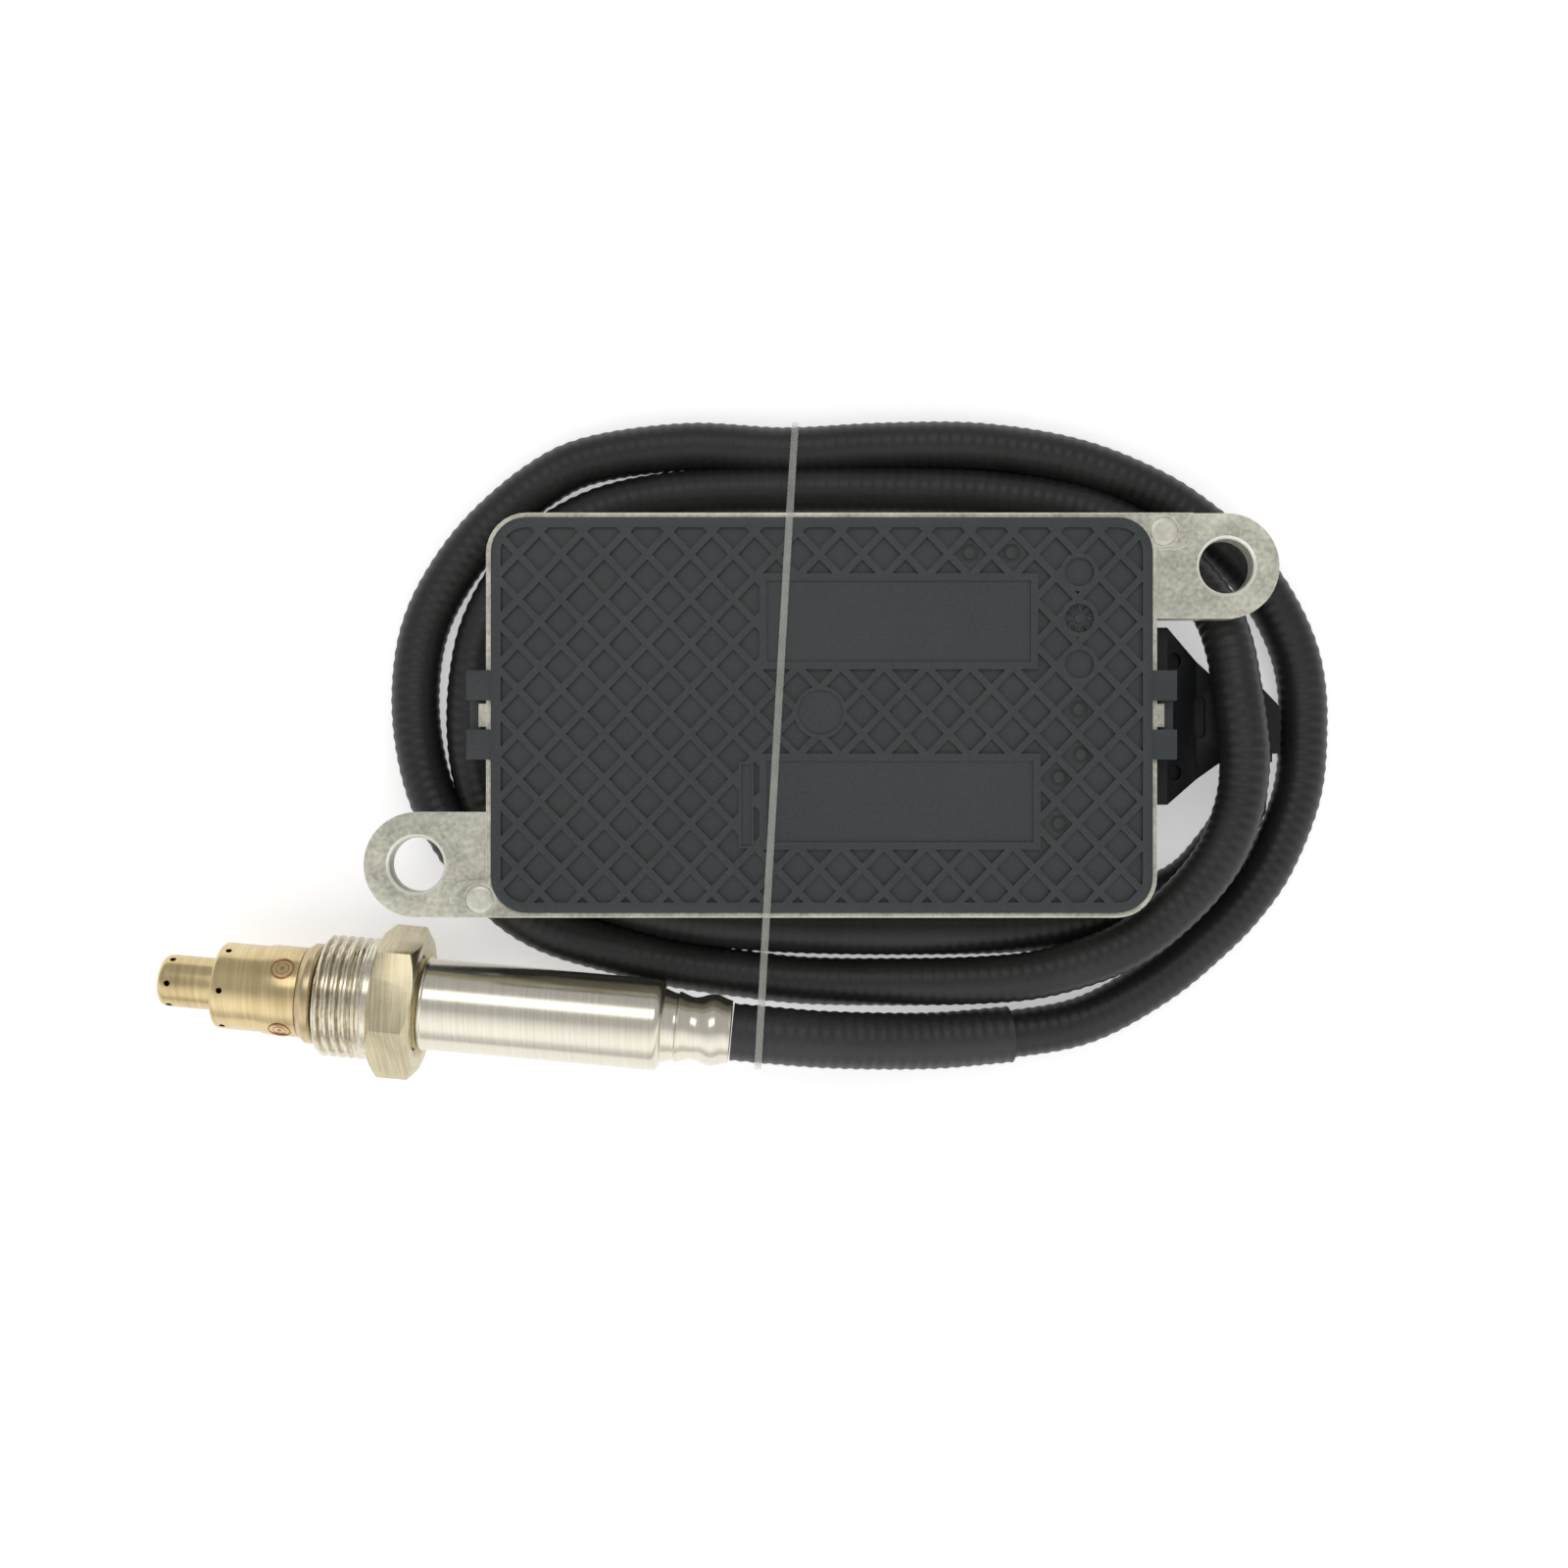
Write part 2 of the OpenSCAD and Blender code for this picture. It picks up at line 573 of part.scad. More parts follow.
// Moulded connector block: flange, sloped shoulder, nose with socket, and cable outlet
module connector_block() {
    half = block_w / 2;
    room = 1.8;
    color([0.07, 0.07, 0.08]) difference() {
        union() {
            span([block_x, -half - 0.4, block_low], [block_x + flange_t, half + 0.4, rim_under - 0.4]);
            difference() {
                translate([0, 0, block_low]) linear_extrude(block_top - block_low)
                    polygon([[block_x, -half], [shoulder_x, -half], [nose_x0 + low_flank, -nose_half - 1],
                             [nose_x0 + low_flank, 0], [nose_x0, nose_half + 1], [shoulder_x, half], [block_x, half]]);
                translate([0, block_w, 0]) rotate([90, 0, 0]) linear_extrude(2 * block_w)
                    polygon([[slope_x0, block_top], [slope_x1, nose_z], [nose_x, nose_z], [nose_x, rim_z], [slope_x0, rim_z]]);
            }
            translate([0, 0, block_low]) linear_extrude(nose_z - block_low)
                polygon([[nose_x0 - 1, -nose_half], [nose_x, -nose_half], [nose_x, 1.8], [nose_x - 4, nose_half],
                         [nose_x0 - 1, nose_half]]);
            translate([outlet_x, outlet_y, outlet_z]) rotate([-90, 0, 0]) cylinder(h = -nose_half - outlet_y + 1, r = outlet_r);
        }
        // Inner room for the blades, open to the housing
        span([block_x - 1, -window_w / 2, window_z - window_h / 2], [blade_drop_x + 1.6, window_w / 2, blade_run_z + 1]);
        span([block_x + flange_t, -window_w / 2, block_low + room], [blade_drop_x + 1.6, window_w / 2, blade_run_z]);
        span([blade_drop_x, -nose_half + room, block_low + room], [socket_x0 - room, nose_half - room, nose_z - room]);
        // Groove for the flange seal
        translate([block_x - cut, 0, window_z]) rotate([90, 0, 90])
            frame_ring(window_w + 4, window_h + 2.8, 1.5, seal_w, 0, seal_t + cut);
        // Socket for the plug
        span([socket_x0, socket_y[0], socket_low], [nose_x + 1, socket_y[1], socket_high]);
        blade_pack();
        // Way for the wires from the outlet to the inner room
        span([socket_x0 - room - 0.3, grommet_y - 0.1, outlet_z - room], [socket_x0 - 0.4, room - nose_half + 0.1, outlet_z + room]);
        // Slot and small recesses on the shoulder
        translate([slot_spot[0], slot_spot[1], nose_z - 1]) linear_extrude(4)
            polygon(round_rect(slot_size[0], slot_size[1], slot_size[0] / 2 - 0.01));
        for (p = block_hole_spots) translate([p[0], p[1], 11.5]) cylinder(h = 6, r = 1.3, $fn = 32);
        // Bore of the cable outlet
        translate([outlet_x, outlet_y - 1, outlet_z]) rotate([-90, 0, 0])
            cylinder(h = grommet_y - outlet_y + 1, r = cable_d / 2 + outlet_gap);
    }
}

// Bent blades from the board to the socket
module blade_pack() {
    for (i = [0:blade_count - 1]) {
        y = blade_y0 + (i - (blade_count - 1) / 2) * blade_pitch - blade_t / 2;
        span([blade_tail, y, blade_run_z - blade_t / 2], [blade_drop_x + blade_t, y + blade_t, blade_run_z + blade_t / 2]);
        span([blade_tail, y, board_top], [blade_tail + blade_t, y + blade_t, blade_run_z]);
        span([blade_drop_x, y, blade_z - blade_t / 2], [blade_drop_x + blade_t, y + blade_t, blade_run_z]);
        span([blade_drop_x, y, blade_z - blade_t / 2], [blade_end, y + blade_t, blade_z + blade_t / 2]);
    }
}

module connector_blades() {
    color([0.78, 0.66, 0.36]) blade_pack();
}

// Seal between the flange and the housing
module connector_seal() {
    color([0.75, 0.3, 0.15]) translate([block_x, 0, window_z]) rotate([90, 0, 90])
        frame_ring(window_w + 3.8, window_h + 2.6, 1.4, seal_w - 0.2, 0, seal_t);
}

// Rubber disc at the bottom of the outlet, with holes for the wires
module cable_grommet() {
    color([0.12, 0.12, 0.12]) translate([outlet_x, grommet_y - grommet_len, outlet_z]) rotate([-90, 0, 0]) difference() {
        cylinder(h = grommet_len, r = cable_d / 2 + outlet_gap - 0.05);
        for (i = [0:lead_count - 1]) rotate([0, 0, i * 360 / lead_count]) translate([lead_ring - 0.4, 0, -1])
            cylinder(h = grommet_len + 2, r = lead_r, $fn = 24);
    }
}

// Ring of points round a route point, square to the route there
function direction(path, i) = let (a = path[max(i - 1, 0)], b = path[min(i + 1, len(path) - 1)]) (b - a) / norm(b - a);
function ring_points(path, i, r) =
    let (t = direction(path, i), side = cross(t, [0, 0, 1]) / norm(cross(t, [0, 0, 1])), up = cross(side, t))
    [for (k = [0:TUBE_SIDES - 1]) path[i] + r * (cos(360 * k / TUBE_SIDES) * side + sin(360 * k / TUBE_SIDES) * up)];

// Closed tube swept along the route between two of its points
module swept_tube(start, end, r) {
    count = end - start + 1;
    n = TUBE_SIDES;
    points = [for (i = [start:end]) each ring_points(ROUTE, i, r)];
    sides = [for (i = [0:count - 2], k = [0:n - 1])
        [i * n + k, (i + 1) * n + k, (i + 1) * n + (k + 1) % n, i * n + (k + 1) % n]];
    first = [for (k = [0:n - 1]) k];
    last = [for (k = [n - 1:-1:0]) (count - 1) * n + k];
    polyhedron(points = points, faces = concat([first, last], sides), convexity = 10);
}

// Flexible cable from the sleeve to the outlet
module sensor_cable() {
    color([0.1, 0.1, 0.11]) swept_tube(SLEEVE_LAST, len(ROUTE) - 1, cable_d / 2);
}

// Thicker sleeve on the cable behind the probe
module end_sleeve() {
    color([0.13, 0.13, 0.14]) swept_tube(0, SLEEVE_LAST, sleeve_d / 2);
}

// Outline of the band stretched over the coil and the module
module band_outline(spread) {
    hull() {
        translate(band_top_strand) circle(cable_d / 2 + spread, $fn = 32);
        translate(band_sleeve_spot) circle(sleeve_d / 2 + spread, $fn = 32);
        translate([cover_w / 2, cover_z]) circle(spread, $fn = 16);
        translate([-cover_w / 2, cover_z]) circle(spread, $fn = 16);
        translate(band_left_spot) circle(cable_d / 2 + spread, $fn = 32);
    }
}

// Clear elastic band that holds the coil to the module
module coil_band() {
    color([0.8, 0.82, 0.8, 0.5]) translate([band_x, 0, 0]) rotate([0, 0, band_yaw]) rotate([90, 0, 90])
        translate([0, 0, -band_w / 2]) linear_extrude(band_w) difference() {
            band_outline(band_slack + band_t);
            band_outline(band_slack);
        }
}

// Puts a piece that is turned about Z onto the probe's axis
module on_probe() {
    translate(probe_at) rotate([0, 0, probe_yaw]) rotate([0, 90, 0]) children();
}

// Turned solid from points of radius and station
module turned(points) {
    rotate_extrude() polygon(points);
}

// Hollow union nut: hexagon, neck and thread, free to turn on the shank
module union_nut() {
    corner = 0.8;
    run_r = shank_r + nut_gap;
    mouth_r = tube_r + 0.5;
    mouth_cone = 1;
    edge = hex_af / 2 + 0.1;
    cone_h = 1.3;
    color([0.62, 0.58, 0.48]) on_probe() difference() {
        union() {
            intersection() {
                translate([0, 0, hex_front]) rotate([0, 0, 30 - nut_turn]) linear_extrude(hex_t)
                    polygon([for (i = [0:5]) hex_af / sqrt(3) * [cos(60 * i), sin(60 * i)]]);
                turned([[0, hex_front], [edge, hex_front], [edge + 2, hex_front + cone_h], [edge + 2, hex_rear - cone_h],
                        [edge, hex_rear], [0, hex_rear]]);
            }
            turned([[0, nut_front], [thread_d / 2 - corner, nut_front], [thread_d / 2, nut_front + corner],
                    [thread_d / 2, hex_front + 1], [0, hex_front + 1]]);
        }
        turned([[0, nut_front - 1], [run_r, nut_front - 1], [run_r, counterbore], [mouth_r, counterbore],
                [mouth_r, hex_rear - mouth_cone], [mouth_r + mouth_cone, hex_rear], [mouth_r + mouth_cone, hex_rear + 1],
                [0, hex_rear + 1]]);
    }
}

// Steel body of the probe: front spigot, seat flange, shank and rear spigot
module probe_body() {
    spigot_r = outer_cap_d / 2 - sheet_t - 0.05;
    flange_r = seat_flange_d / 2;
    rear_r = tube_r - sheet_t - 0.05;
    color([0.6, 0.58, 0.54]) on_probe() turned([
        [bore_r, spigot_front], [spigot_r, spigot_front], [spigot_r, flange_front], [flange_r - 0.9, flange_front],
        [flange_r, flange_front + 1.2], [flange_r, flange_rear - 0.4], [flange_r - 0.4, flange_rear],
        [shank_r, flange_rear], [shank_r, tube_front], [rear_r, tube_front], [rear_r, body_rear], [bore_r, body_rear]]);
}

// Ring of gas holes at one station of a cap
module gas_holes(station, r, turn) {
    translate([0, 0, station]) for (i = [0:5]) rotate([0, 90, turn + 60 * i]) translate([0, 0, r / 2])
        cylinder(h = r, r = gas_hole_d / 2, $fn = 24);
}

// Wide cap with a ring of gas holes and four round crimp marks
module outer_cap() {
    r = outer_cap_d / 2;
    step = 0.3;
    step_at = cap_front + 8;
    round = 0.8;
    bend = quarter(r - round, round - 0, round, -90, 5);
    color([0.66, 0.57, 0.38]) on_probe() difference() {
        turned(concat(
            [[inner_cap_d / 2 + 0.05, cap_front]],
            [for (p = bend) [p[0], cap_front + p[1]]],
            [[r, step_at - 0.6], [r + step, step_at + 0.6], [r + step, flange_front], [r - sheet_t, flange_front],
             [r - sheet_t, cap_front + sheet_t], [inner_cap_d / 2 + 0.05, cap_front + sheet_t]]));
        gas_holes(cap_front + 1.8, r, 0);
        for (i = [0:3]) rotate([0, 0, 57 + 90 * i]) translate([0, 0, flange_front - 2.6]) rotate([0, 90, 0])
            translate([0, 0, r + step - 0.12]) difference() {
                cylinder(h = 2, r = 2, $fn = 32);
                translate([0, 0, -1]) cylinder(h = 4, r = 1.7, $fn = 32);
            }
    }
}

// Narrow cap with a round end, gas holes and a foot on the body's spigot
module inner_cap() {
    r = inner_cap_d / 2;
    round = 1.4;
    foot_r = outer_cap_d / 2 - sheet_t - 0.3;
    color([0.68, 0.6, 0.42]) on_probe() difference() {
        turned(concat(
            [[0, tip]],
            [for (p = quarter(r - round, round, round, -90, 6)) [p[0], tip + p[1]]],
            [[r, spigot_front - sheet_t], [foot_r, spigot_front - sheet_t], [foot_r, spigot_front],
             [r - sheet_t, spigot_front], [r - sheet_t, tip + round], [r - round, tip + sheet_t], [0, tip + sheet_t]]));
        gas_holes(tip + 2, r, 0);
        gas_holes(cap_front + 6, r, 30);
    }
}

// Outer radius of the crimped collar at a distance from its start
function collar_r(x) = 5.5 + 0.4 * cos(x * 360 / 6.4) * (x > 0.4 ? 1 : 0);

// Polished rear tube with a round shoulder and a crimped collar
module rear_tube() {
    steps = 20;
    collar0 = tube_end + 1.8;
    bead = hex_rear + 0.6;
    length = collar_end - collar0;
    outer = [for (i = [0:steps]) [collar_r(i * length / steps), collar0 + i * length / steps]];
    shoulder = quarter(tube_r - 1.4, tube_end - 1.4, 1.4, 0, 5);
    color([0.78, 0.76, 0.72]) on_probe() turned(concat(
        [[tube_r, tube_front], [tube_r, bead - 0.4], [tube_r + 0.2, bead - 0.2], [tube_r + 0.2, bead + 0.2],
         [tube_r, bead + 0.4]], shoulder, outer,
        [for (i = [steps:-1:0]) [outer[i][0] - sheet_t, outer[i][1]]],
        [[tube_r - 1.6, tube_end - sheet_t], [tube_r - sheet_t, tube_end - 1.6], [tube_r - sheet_t, tube_front]]));
}

// Planar ceramic sensing element along the probe
module sensor_element() {
    color([0.9, 0.9, 0.88]) on_probe()
        span([-element_w / 2, -element_t / 2, element_front], [element_w / 2, element_t / 2, element_rear]);
}

// Ceramic disc with a slot for the element
module ceramic_disc(r, front, rear) {
    difference() {
        translate([0, 0, front]) cylinder(h = rear - front, r = r);
        span([-element_w / 2 - element_gap, -element_t / 2 - element_gap, front - 1],
             [element_w / 2 + element_gap, element_t / 2 + element_gap, rear + 1]);
    }
}

module front_insulator() {
    color([0.93, 0.91, 0.85]) on_probe() ceramic_disc(ceramic_r, spigot_front, nut_front + 3);
}

module powder_seal() {
    color([0.8, 0.8, 0.78]) on_probe() ceramic_disc(ceramic_r, nut_front + 3, nut_front + 8);
}

module rear_insulator() {
    color([0.93, 0.91, 0.85]) on_probe() ceramic_disc(ceramic_r, nut_front + 8, body_rear);
}

// Ceramic holder for the contacts, inside the rear tube
module contact_holder() {
    color([0.9, 0.88, 0.82]) on_probe() difference() {
        translate([0, 0, holder_front]) cylinder(h = holder_rear - holder_front, r = holder_r);
        span([-element_w / 2 - 0.3, -element_t / 2 - spring_w, holder_front - 1],
             [element_w / 2 + 0.3, element_t / 2 + spring_w, holder_rear - 2]);
        for (i = [0:lead_count - 1]) rotate([0, 0, i * 360 / lead_count]) translate([lead_ring, 0, holder_rear - 3])
            cylinder(h = 4, r = lead_r, $fn = 24);
    }
}

// Contact strips that press on both faces of the element
module contact_springs() {
    color([0.72, 0.6, 0.35]) on_probe() for (side = [-1, 1], x = [-1.4, 0, 1.4])
        translate([x - 0.4, side > 0 ? element_t / 2 : -element_t / 2 - spring_w + 0.1, holder_front + 1])
            cube([0.8, spring_w - 0.1, 12]);
}

// Seal in the crimped collar, with holes for the leads
module rear_grommet() {
    color([0.3, 0.16, 0.1]) on_probe() difference() {
        translate([0, 0, grommet_front]) cylinder(h = collar_end - grommet_front, r = grommet_r);
        for (i = [0:lead_count - 1]) rotate([0, 0, i * 360 / lead_count]) translate([lead_ring, 0, grommet_front - 1])
            cylinder(h = collar_end, r = lead_r, $fn = 24);
    }
}

// Leads from the contacts through the seal
module probe_leads() {
    color([0.85, 0.84, 0.8]) on_probe() for (i = [0:lead_count - 1]) rotate([0, 0, i * 360 / lead_count])
        translate([lead_ring, 0, holder_rear - 2]) cylinder(h = collar_end - holder_rear + 2, r = lead_r - 0.05, $fn = 24);
}

placed() module_housing();
placed() module_cover();
placed() cover_gasket();
placed() vent_membrane();
placed() circuit_board();
placed() board_processor();
placed() board_drivers();
placed() board_capacitors();
placed() board_inductor();
placed() heat_pad();
placed() board_screws();
placed() connector_block();
placed() connector_blades();
placed() connector_seal();
placed() cable_grommet();
placed() sensor_cable();
placed() end_sleeve();
placed() coil_band();
placed() union_nut();
placed() probe_body();
placed() outer_cap();
placed() inner_cap();
placed() rear_tube();
placed() sensor_element();
placed() front_insulator();
placed() powder_seal();
placed() rear_insulator();
placed() contact_holder();
placed() contact_springs();
placed() rear_grommet();
placed() probe_leads();
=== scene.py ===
# %% [markdown]
# # A nitrogen oxide sensor
# The object is a flat control module, a long cable wound round it, and a probe that is
# screwed into an exhaust pipe. The exact solids come in as a fixed frame. This notebook
# gives each of them its looks, and builds anew the pieces that need soft edges, ribs
# or a thread.

# %% Load the frame
import math
import bmesh
import bpy
from mathutils import Matrix, Vector


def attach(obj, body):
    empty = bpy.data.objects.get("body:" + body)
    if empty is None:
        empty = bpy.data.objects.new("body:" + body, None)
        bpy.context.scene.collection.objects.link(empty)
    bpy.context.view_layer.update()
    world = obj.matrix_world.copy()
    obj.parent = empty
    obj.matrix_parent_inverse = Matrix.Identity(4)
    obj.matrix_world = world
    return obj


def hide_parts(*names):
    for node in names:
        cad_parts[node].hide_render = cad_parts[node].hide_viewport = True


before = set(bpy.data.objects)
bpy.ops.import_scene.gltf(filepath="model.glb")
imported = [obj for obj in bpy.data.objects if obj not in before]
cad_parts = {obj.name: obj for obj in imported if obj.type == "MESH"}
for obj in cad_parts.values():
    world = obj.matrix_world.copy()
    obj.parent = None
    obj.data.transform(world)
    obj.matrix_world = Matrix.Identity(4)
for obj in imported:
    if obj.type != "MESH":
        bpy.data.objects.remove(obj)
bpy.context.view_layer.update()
MM = 0.001
FLOOR_MM = -15.4
FLOOR_Z = FLOOR_MM * MM
print("nodes:", len(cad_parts))

# %% [markdown]
# ## Camera
# The photograph was taken from straight above. Its frame is square, and the lens was
# worked out from how much larger the high rim looks than the low cable.

# %% Place the camera
SENSOR_MM, LENS_MM = 36, 41.51
CAMERA_MM = (-6.05, -11.08, 295.6)
camera_data = bpy.data.cameras.new("camera")
camera_data.sensor_width = SENSOR_MM
camera_data.sensor_height = SENSOR_MM
camera_data.sensor_fit = "HORIZONTAL"
camera_data.lens = LENS_MM
camera = bpy.data.objects.new("camera", camera_data)
camera.location = [step * MM for step in CAMERA_MM]
bpy.context.scene.collection.objects.link(camera)
bpy.context.scene.camera = camera
print("camera height above the floor, mm:", round((camera.location.z - FLOOR_Z) / MM))

# %% [markdown]
# ## Helpers for meshes
# A turned piece is a closed profile spun about an axis. Its corners are rounded in the
# profile, because a real edge always has a small radius that catches the light.

# %% Round the corners of a profile
def rounded(points, radius, steps=3):
    result = []
    count = len(points)
    for i, point in enumerate(points):
        here, before, after = Vector(point), Vector(points[i - 1]), Vector(points[(i + 1) % count])
        back, ahead = before - here, after - here
        reach = min(radius, 0.4 * back.length, 0.4 * ahead.length)
        if here.x < 1e-6 or reach < 0.01 or back.angle(ahead) > math.radians(165):
            result.append(tuple(here))
            continue
        start, end = here + back.normalized() * reach, here + ahead.normalized() * reach
        for k in range(steps + 1):
            t = k / steps
            result.append(tuple(start * (1 - t) ** 2 + here * 2 * t * (1 - t) + end * t * t))
    return result

# %% Make an object from points and faces
def add_object(name, mesh):
    piece = bpy.data.objects.new(name, mesh)
    bpy.context.scene.collection.objects.link(piece)
    return piece


def add_mesh(name, points, faces, place=Matrix.Identity(4), sharp=35):
    mesh = bpy.data.meshes.new(name)
    mesh.from_pydata([tuple(place @ (Vector(p) * MM)) for p in points], [], faces)
    work = bmesh.new()
    work.from_mesh(mesh)
    bmesh.ops.remove_doubles(work, verts=work.verts, dist=1e-7)
    bmesh.ops.recalc_face_normals(work, faces=work.faces)
    work.to_mesh(mesh)
    work.free()
    smooth(mesh, sharp)
    return add_object(name, mesh)


def smooth(mesh, sharp=35):
    mesh.shade_smooth()
    mesh.set_sharp_from_angle(angle=math.radians(sharp))

# %% Spin a profile of radius and station
PROBE_X, PROBE_Y, PROBE_HEIGHT, PROBE_TURN = -67.16, -47.17, 12.3, 5.25
PROBE = (Matrix.Translation(Vector((PROBE_X, PROBE_Y, PROBE_HEIGHT + FLOOR_MM)) * MM)
         @ Matrix.Rotation(math.radians(-PROBE_TURN), 4, "Z")
         @ Matrix.Rotation(math.radians(90), 4, "Y"))


def turned(name, profile, steps=128, place=PROBE):
    points, faces = [], []
    count = len(profile)
    for i in range(steps):
        turn = 2 * math.pi * i / steps
        points += [(r * math.cos(turn), r * math.sin(turn), s) for r, s in profile]
    for i in range(steps):
        for k in range(count):
            here, after = i * count, (i + 1) % steps * count
            faces.append((here + k, here + (k + 1) % count, after + (k + 1) % count, after + k))
    return add_mesh(name, points, faces, place)

# %% [markdown]
# A moulding or casting from the frame has knife edges. A copy of it, with its flat
# triangles merged and a narrow bevel on every edge, gets the bright edge lines of the
# real piece, and its main shape stays as it was.

# %% Soften the edges of a solid
def evaluated_mesh(piece):
    bpy.context.view_layer.update()
    seen = piece.evaluated_get(bpy.context.evaluated_depsgraph_get())
    return bpy.data.meshes.new_from_object(seen)


def softened(node, name, width, segments=2, sharp=40):
    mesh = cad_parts[node].data.copy()
    mesh.materials.clear()
    work = bmesh.new()
    work.from_mesh(mesh)
    bmesh.ops.remove_doubles(work, verts=work.verts, dist=2e-7)
    bmesh.ops.dissolve_limit(work, angle_limit=math.radians(0.8), verts=work.verts, edges=work.edges)
    work.to_mesh(mesh)
    work.free()
    piece = add_object(name, mesh)
    bevel = piece.modifiers.new("edge", "BEVEL")
    bevel.width = width * MM
    bevel.segments = segments
    bevel.limit_method = "ANGLE"
    bevel.angle_limit = math.radians(sharp)
    bevel.use_clamp_overlap = True
    bevel.harden_normals = True
    mesh.shade_smooth()
    piece.data = evaluated_mesh(piece)
    piece.modifiers.clear()
    print(name, "faces:", len(piece.data.polygons))
    return piece

# %% Cut one mesh with another
def cut(piece, cutter, operation="DIFFERENCE"):
    step = piece.modifiers.new("cut", "BOOLEAN")
    step.operation = operation
    step.object = cutter
    step.solver = "EXACT"
    piece.data = evaluated_mesh(piece)
    piece.modifiers.clear()
    bpy.data.objects.remove(cutter)
    smooth(piece.data, 30)
    return piece

# %% Give a piece its finish and its body, and hide the frame's solids that it replaces
def settle(piece, material, body, slot, *nodes):
    piece.data.materials.clear()
    piece.data.materials.append(material)
    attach(piece, body)
    if nodes:
        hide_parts(*nodes)

# %% [markdown]
# ## Helpers for geometry nodes
# What repeats along a line or round a circle is made by a node tree. The tree's sizes
# are named inputs, and its result is kept as a plain mesh.

# %% Build and run a node tree
class Tree:
    def __init__(self, name, inputs):
        self.group = bpy.data.node_groups.new(name, "GeometryNodeTree")
        self.group.interface.new_socket(name="Geometry", in_out="INPUT",
                                        socket_type="NodeSocketGeometry")
        kinds = {float: "NodeSocketFloat", int: "NodeSocketInt",
                 bpy.types.Material: "NodeSocketMaterial"}
        for label, kind in inputs.items():
            self.group.interface.new_socket(name=label, in_out="INPUT", socket_type=kinds[kind])
        self.group.interface.new_socket(name="Geometry", in_out="OUTPUT",
                                        socket_type="NodeSocketGeometry")
        self.start = self.group.nodes.new("NodeGroupInput")
        self.end = self.group.nodes.new("NodeGroupOutput")

    def node(self, kind, sockets=None, **settings):
        made = self.group.nodes.new(kind)
        for key, value in settings.items():
            setattr(made, key, value)
        for key, value in (sockets or {}).items():
            socket = made.inputs[key]
            if isinstance(value, bpy.types.NodeSocket):
                self.group.links.new(value, socket)
            else:
                socket.default_value = value
        return made

    def math(self, operation, a, b=0.0):
        return self.node("ShaderNodeMath", {0: a, 1: b}, operation=operation).outputs[0]

    def finish(self, geometry, material):
        real = self.node("GeometryNodeRealizeInstances", {"Geometry": geometry}).outputs[0]
        painted = self.node("GeometryNodeSetMaterial", {"Geometry": real,
                                                        "Material": material}).outputs[0]
        self.group.links.new(painted, self.end.inputs[0])


def grow(piece, tree, values):
    step = piece.modifiers.new("nodes", "NODES")
    step.node_group = tree.group
    for item in tree.group.interface.items_tree:
        if item.in_out == "INPUT" and item.name in values:
            step[item.identifier] = values[item.name]
    piece.data = evaluated_mesh(piece)
    piece.modifiers.clear()
    print(piece.name, "faces:", len(piece.data.polygons))
    return piece

# %% [markdown]
# ## Helper for finishes
# Every finish starts from one shader. Noise in the object's own coordinates breaks up
# its colour and its gloss and lifts its surface a little, so that nothing looks like
# flat paint. A stretched noise gives the fine lines that a lathe or a brush leaves.

# %% Describe a finish
def finish(name, dark, light, rough, metallic=0.0, grain=900, grain_bump=0.1, depth=0.05, spots=0.0,
           spot_scale=400, stretch=(1, 1, 1), turn=0.0, rough_spread=0.08, coat=0.0, specular=0.5):
    material = bpy.data.materials.new(name)
    material.use_nodes = True
    tree = material.node_tree
    nodes, links = tree.nodes, tree.links
    shader = nodes["Principled BSDF"]
    shader.inputs["Metallic"].default_value = metallic
    shader.inputs["Coat Weight"].default_value = coat
    shader.inputs["Specular IOR Level"].default_value = specular
    where = nodes.new("ShaderNodeTexCoord")
    mapping = nodes.new("ShaderNodeMapping")
    mapping.inputs["Rotation"].default_value = (0, 0, math.radians(turn))
    mapping.inputs["Scale"].default_value = stretch
    links.new(where.outputs["Object"], mapping.inputs["Vector"])
    fine = nodes.new("ShaderNodeTexNoise")
    fine.inputs["Scale"].default_value = grain
    fine.inputs["Detail"].default_value = 4
    broad = nodes.new("ShaderNodeTexNoise")
    broad.inputs["Scale"].default_value = spot_scale
    broad.inputs["Detail"].default_value = 3
    links.new(mapping.outputs["Vector"], fine.inputs["Vector"])
    links.new(where.outputs["Object"], broad.inputs["Vector"])
    blend = nodes.new("ShaderNodeMix")
    blend.data_type = "FLOAT"
    blend.inputs["Factor"].default_value = spots
    links.new(fine.outputs["Fac"], blend.inputs[2])
    links.new(broad.outputs["Fac"], blend.inputs[3])
    colours = nodes.new("ShaderNodeValToRGB")
    colours.color_ramp.elements[0].position = 0.32
    colours.color_ramp.elements[0].color = (*dark, 1)
    colours.color_ramp.elements[1].position = 0.68
    colours.color_ramp.elements[1].color = (*light, 1)
    links.new(blend.outputs[0], colours.inputs["Fac"])
    links.new(colours.outputs["Color"], shader.inputs["Base Color"])
    gloss = nodes.new("ShaderNodeMapRange")
    gloss.inputs["To Min"].default_value = max(0.02, rough - rough_spread)
    gloss.inputs["To Max"].default_value = min(1.0, rough + rough_spread)
    links.new(fine.outputs["Fac"], gloss.inputs["Value"])
    links.new(gloss.outputs["Result"], shader.inputs["Roughness"])
    bump = nodes.new("ShaderNodeBump")
    bump.inputs["Strength"].default_value = grain_bump
    bump.inputs["Distance"].default_value = depth * MM
    links.new(fine.outputs["Fac"], bump.inputs["Height"])
    links.new(bump.outputs["Normal"], shader.inputs["Normal"])
    return material

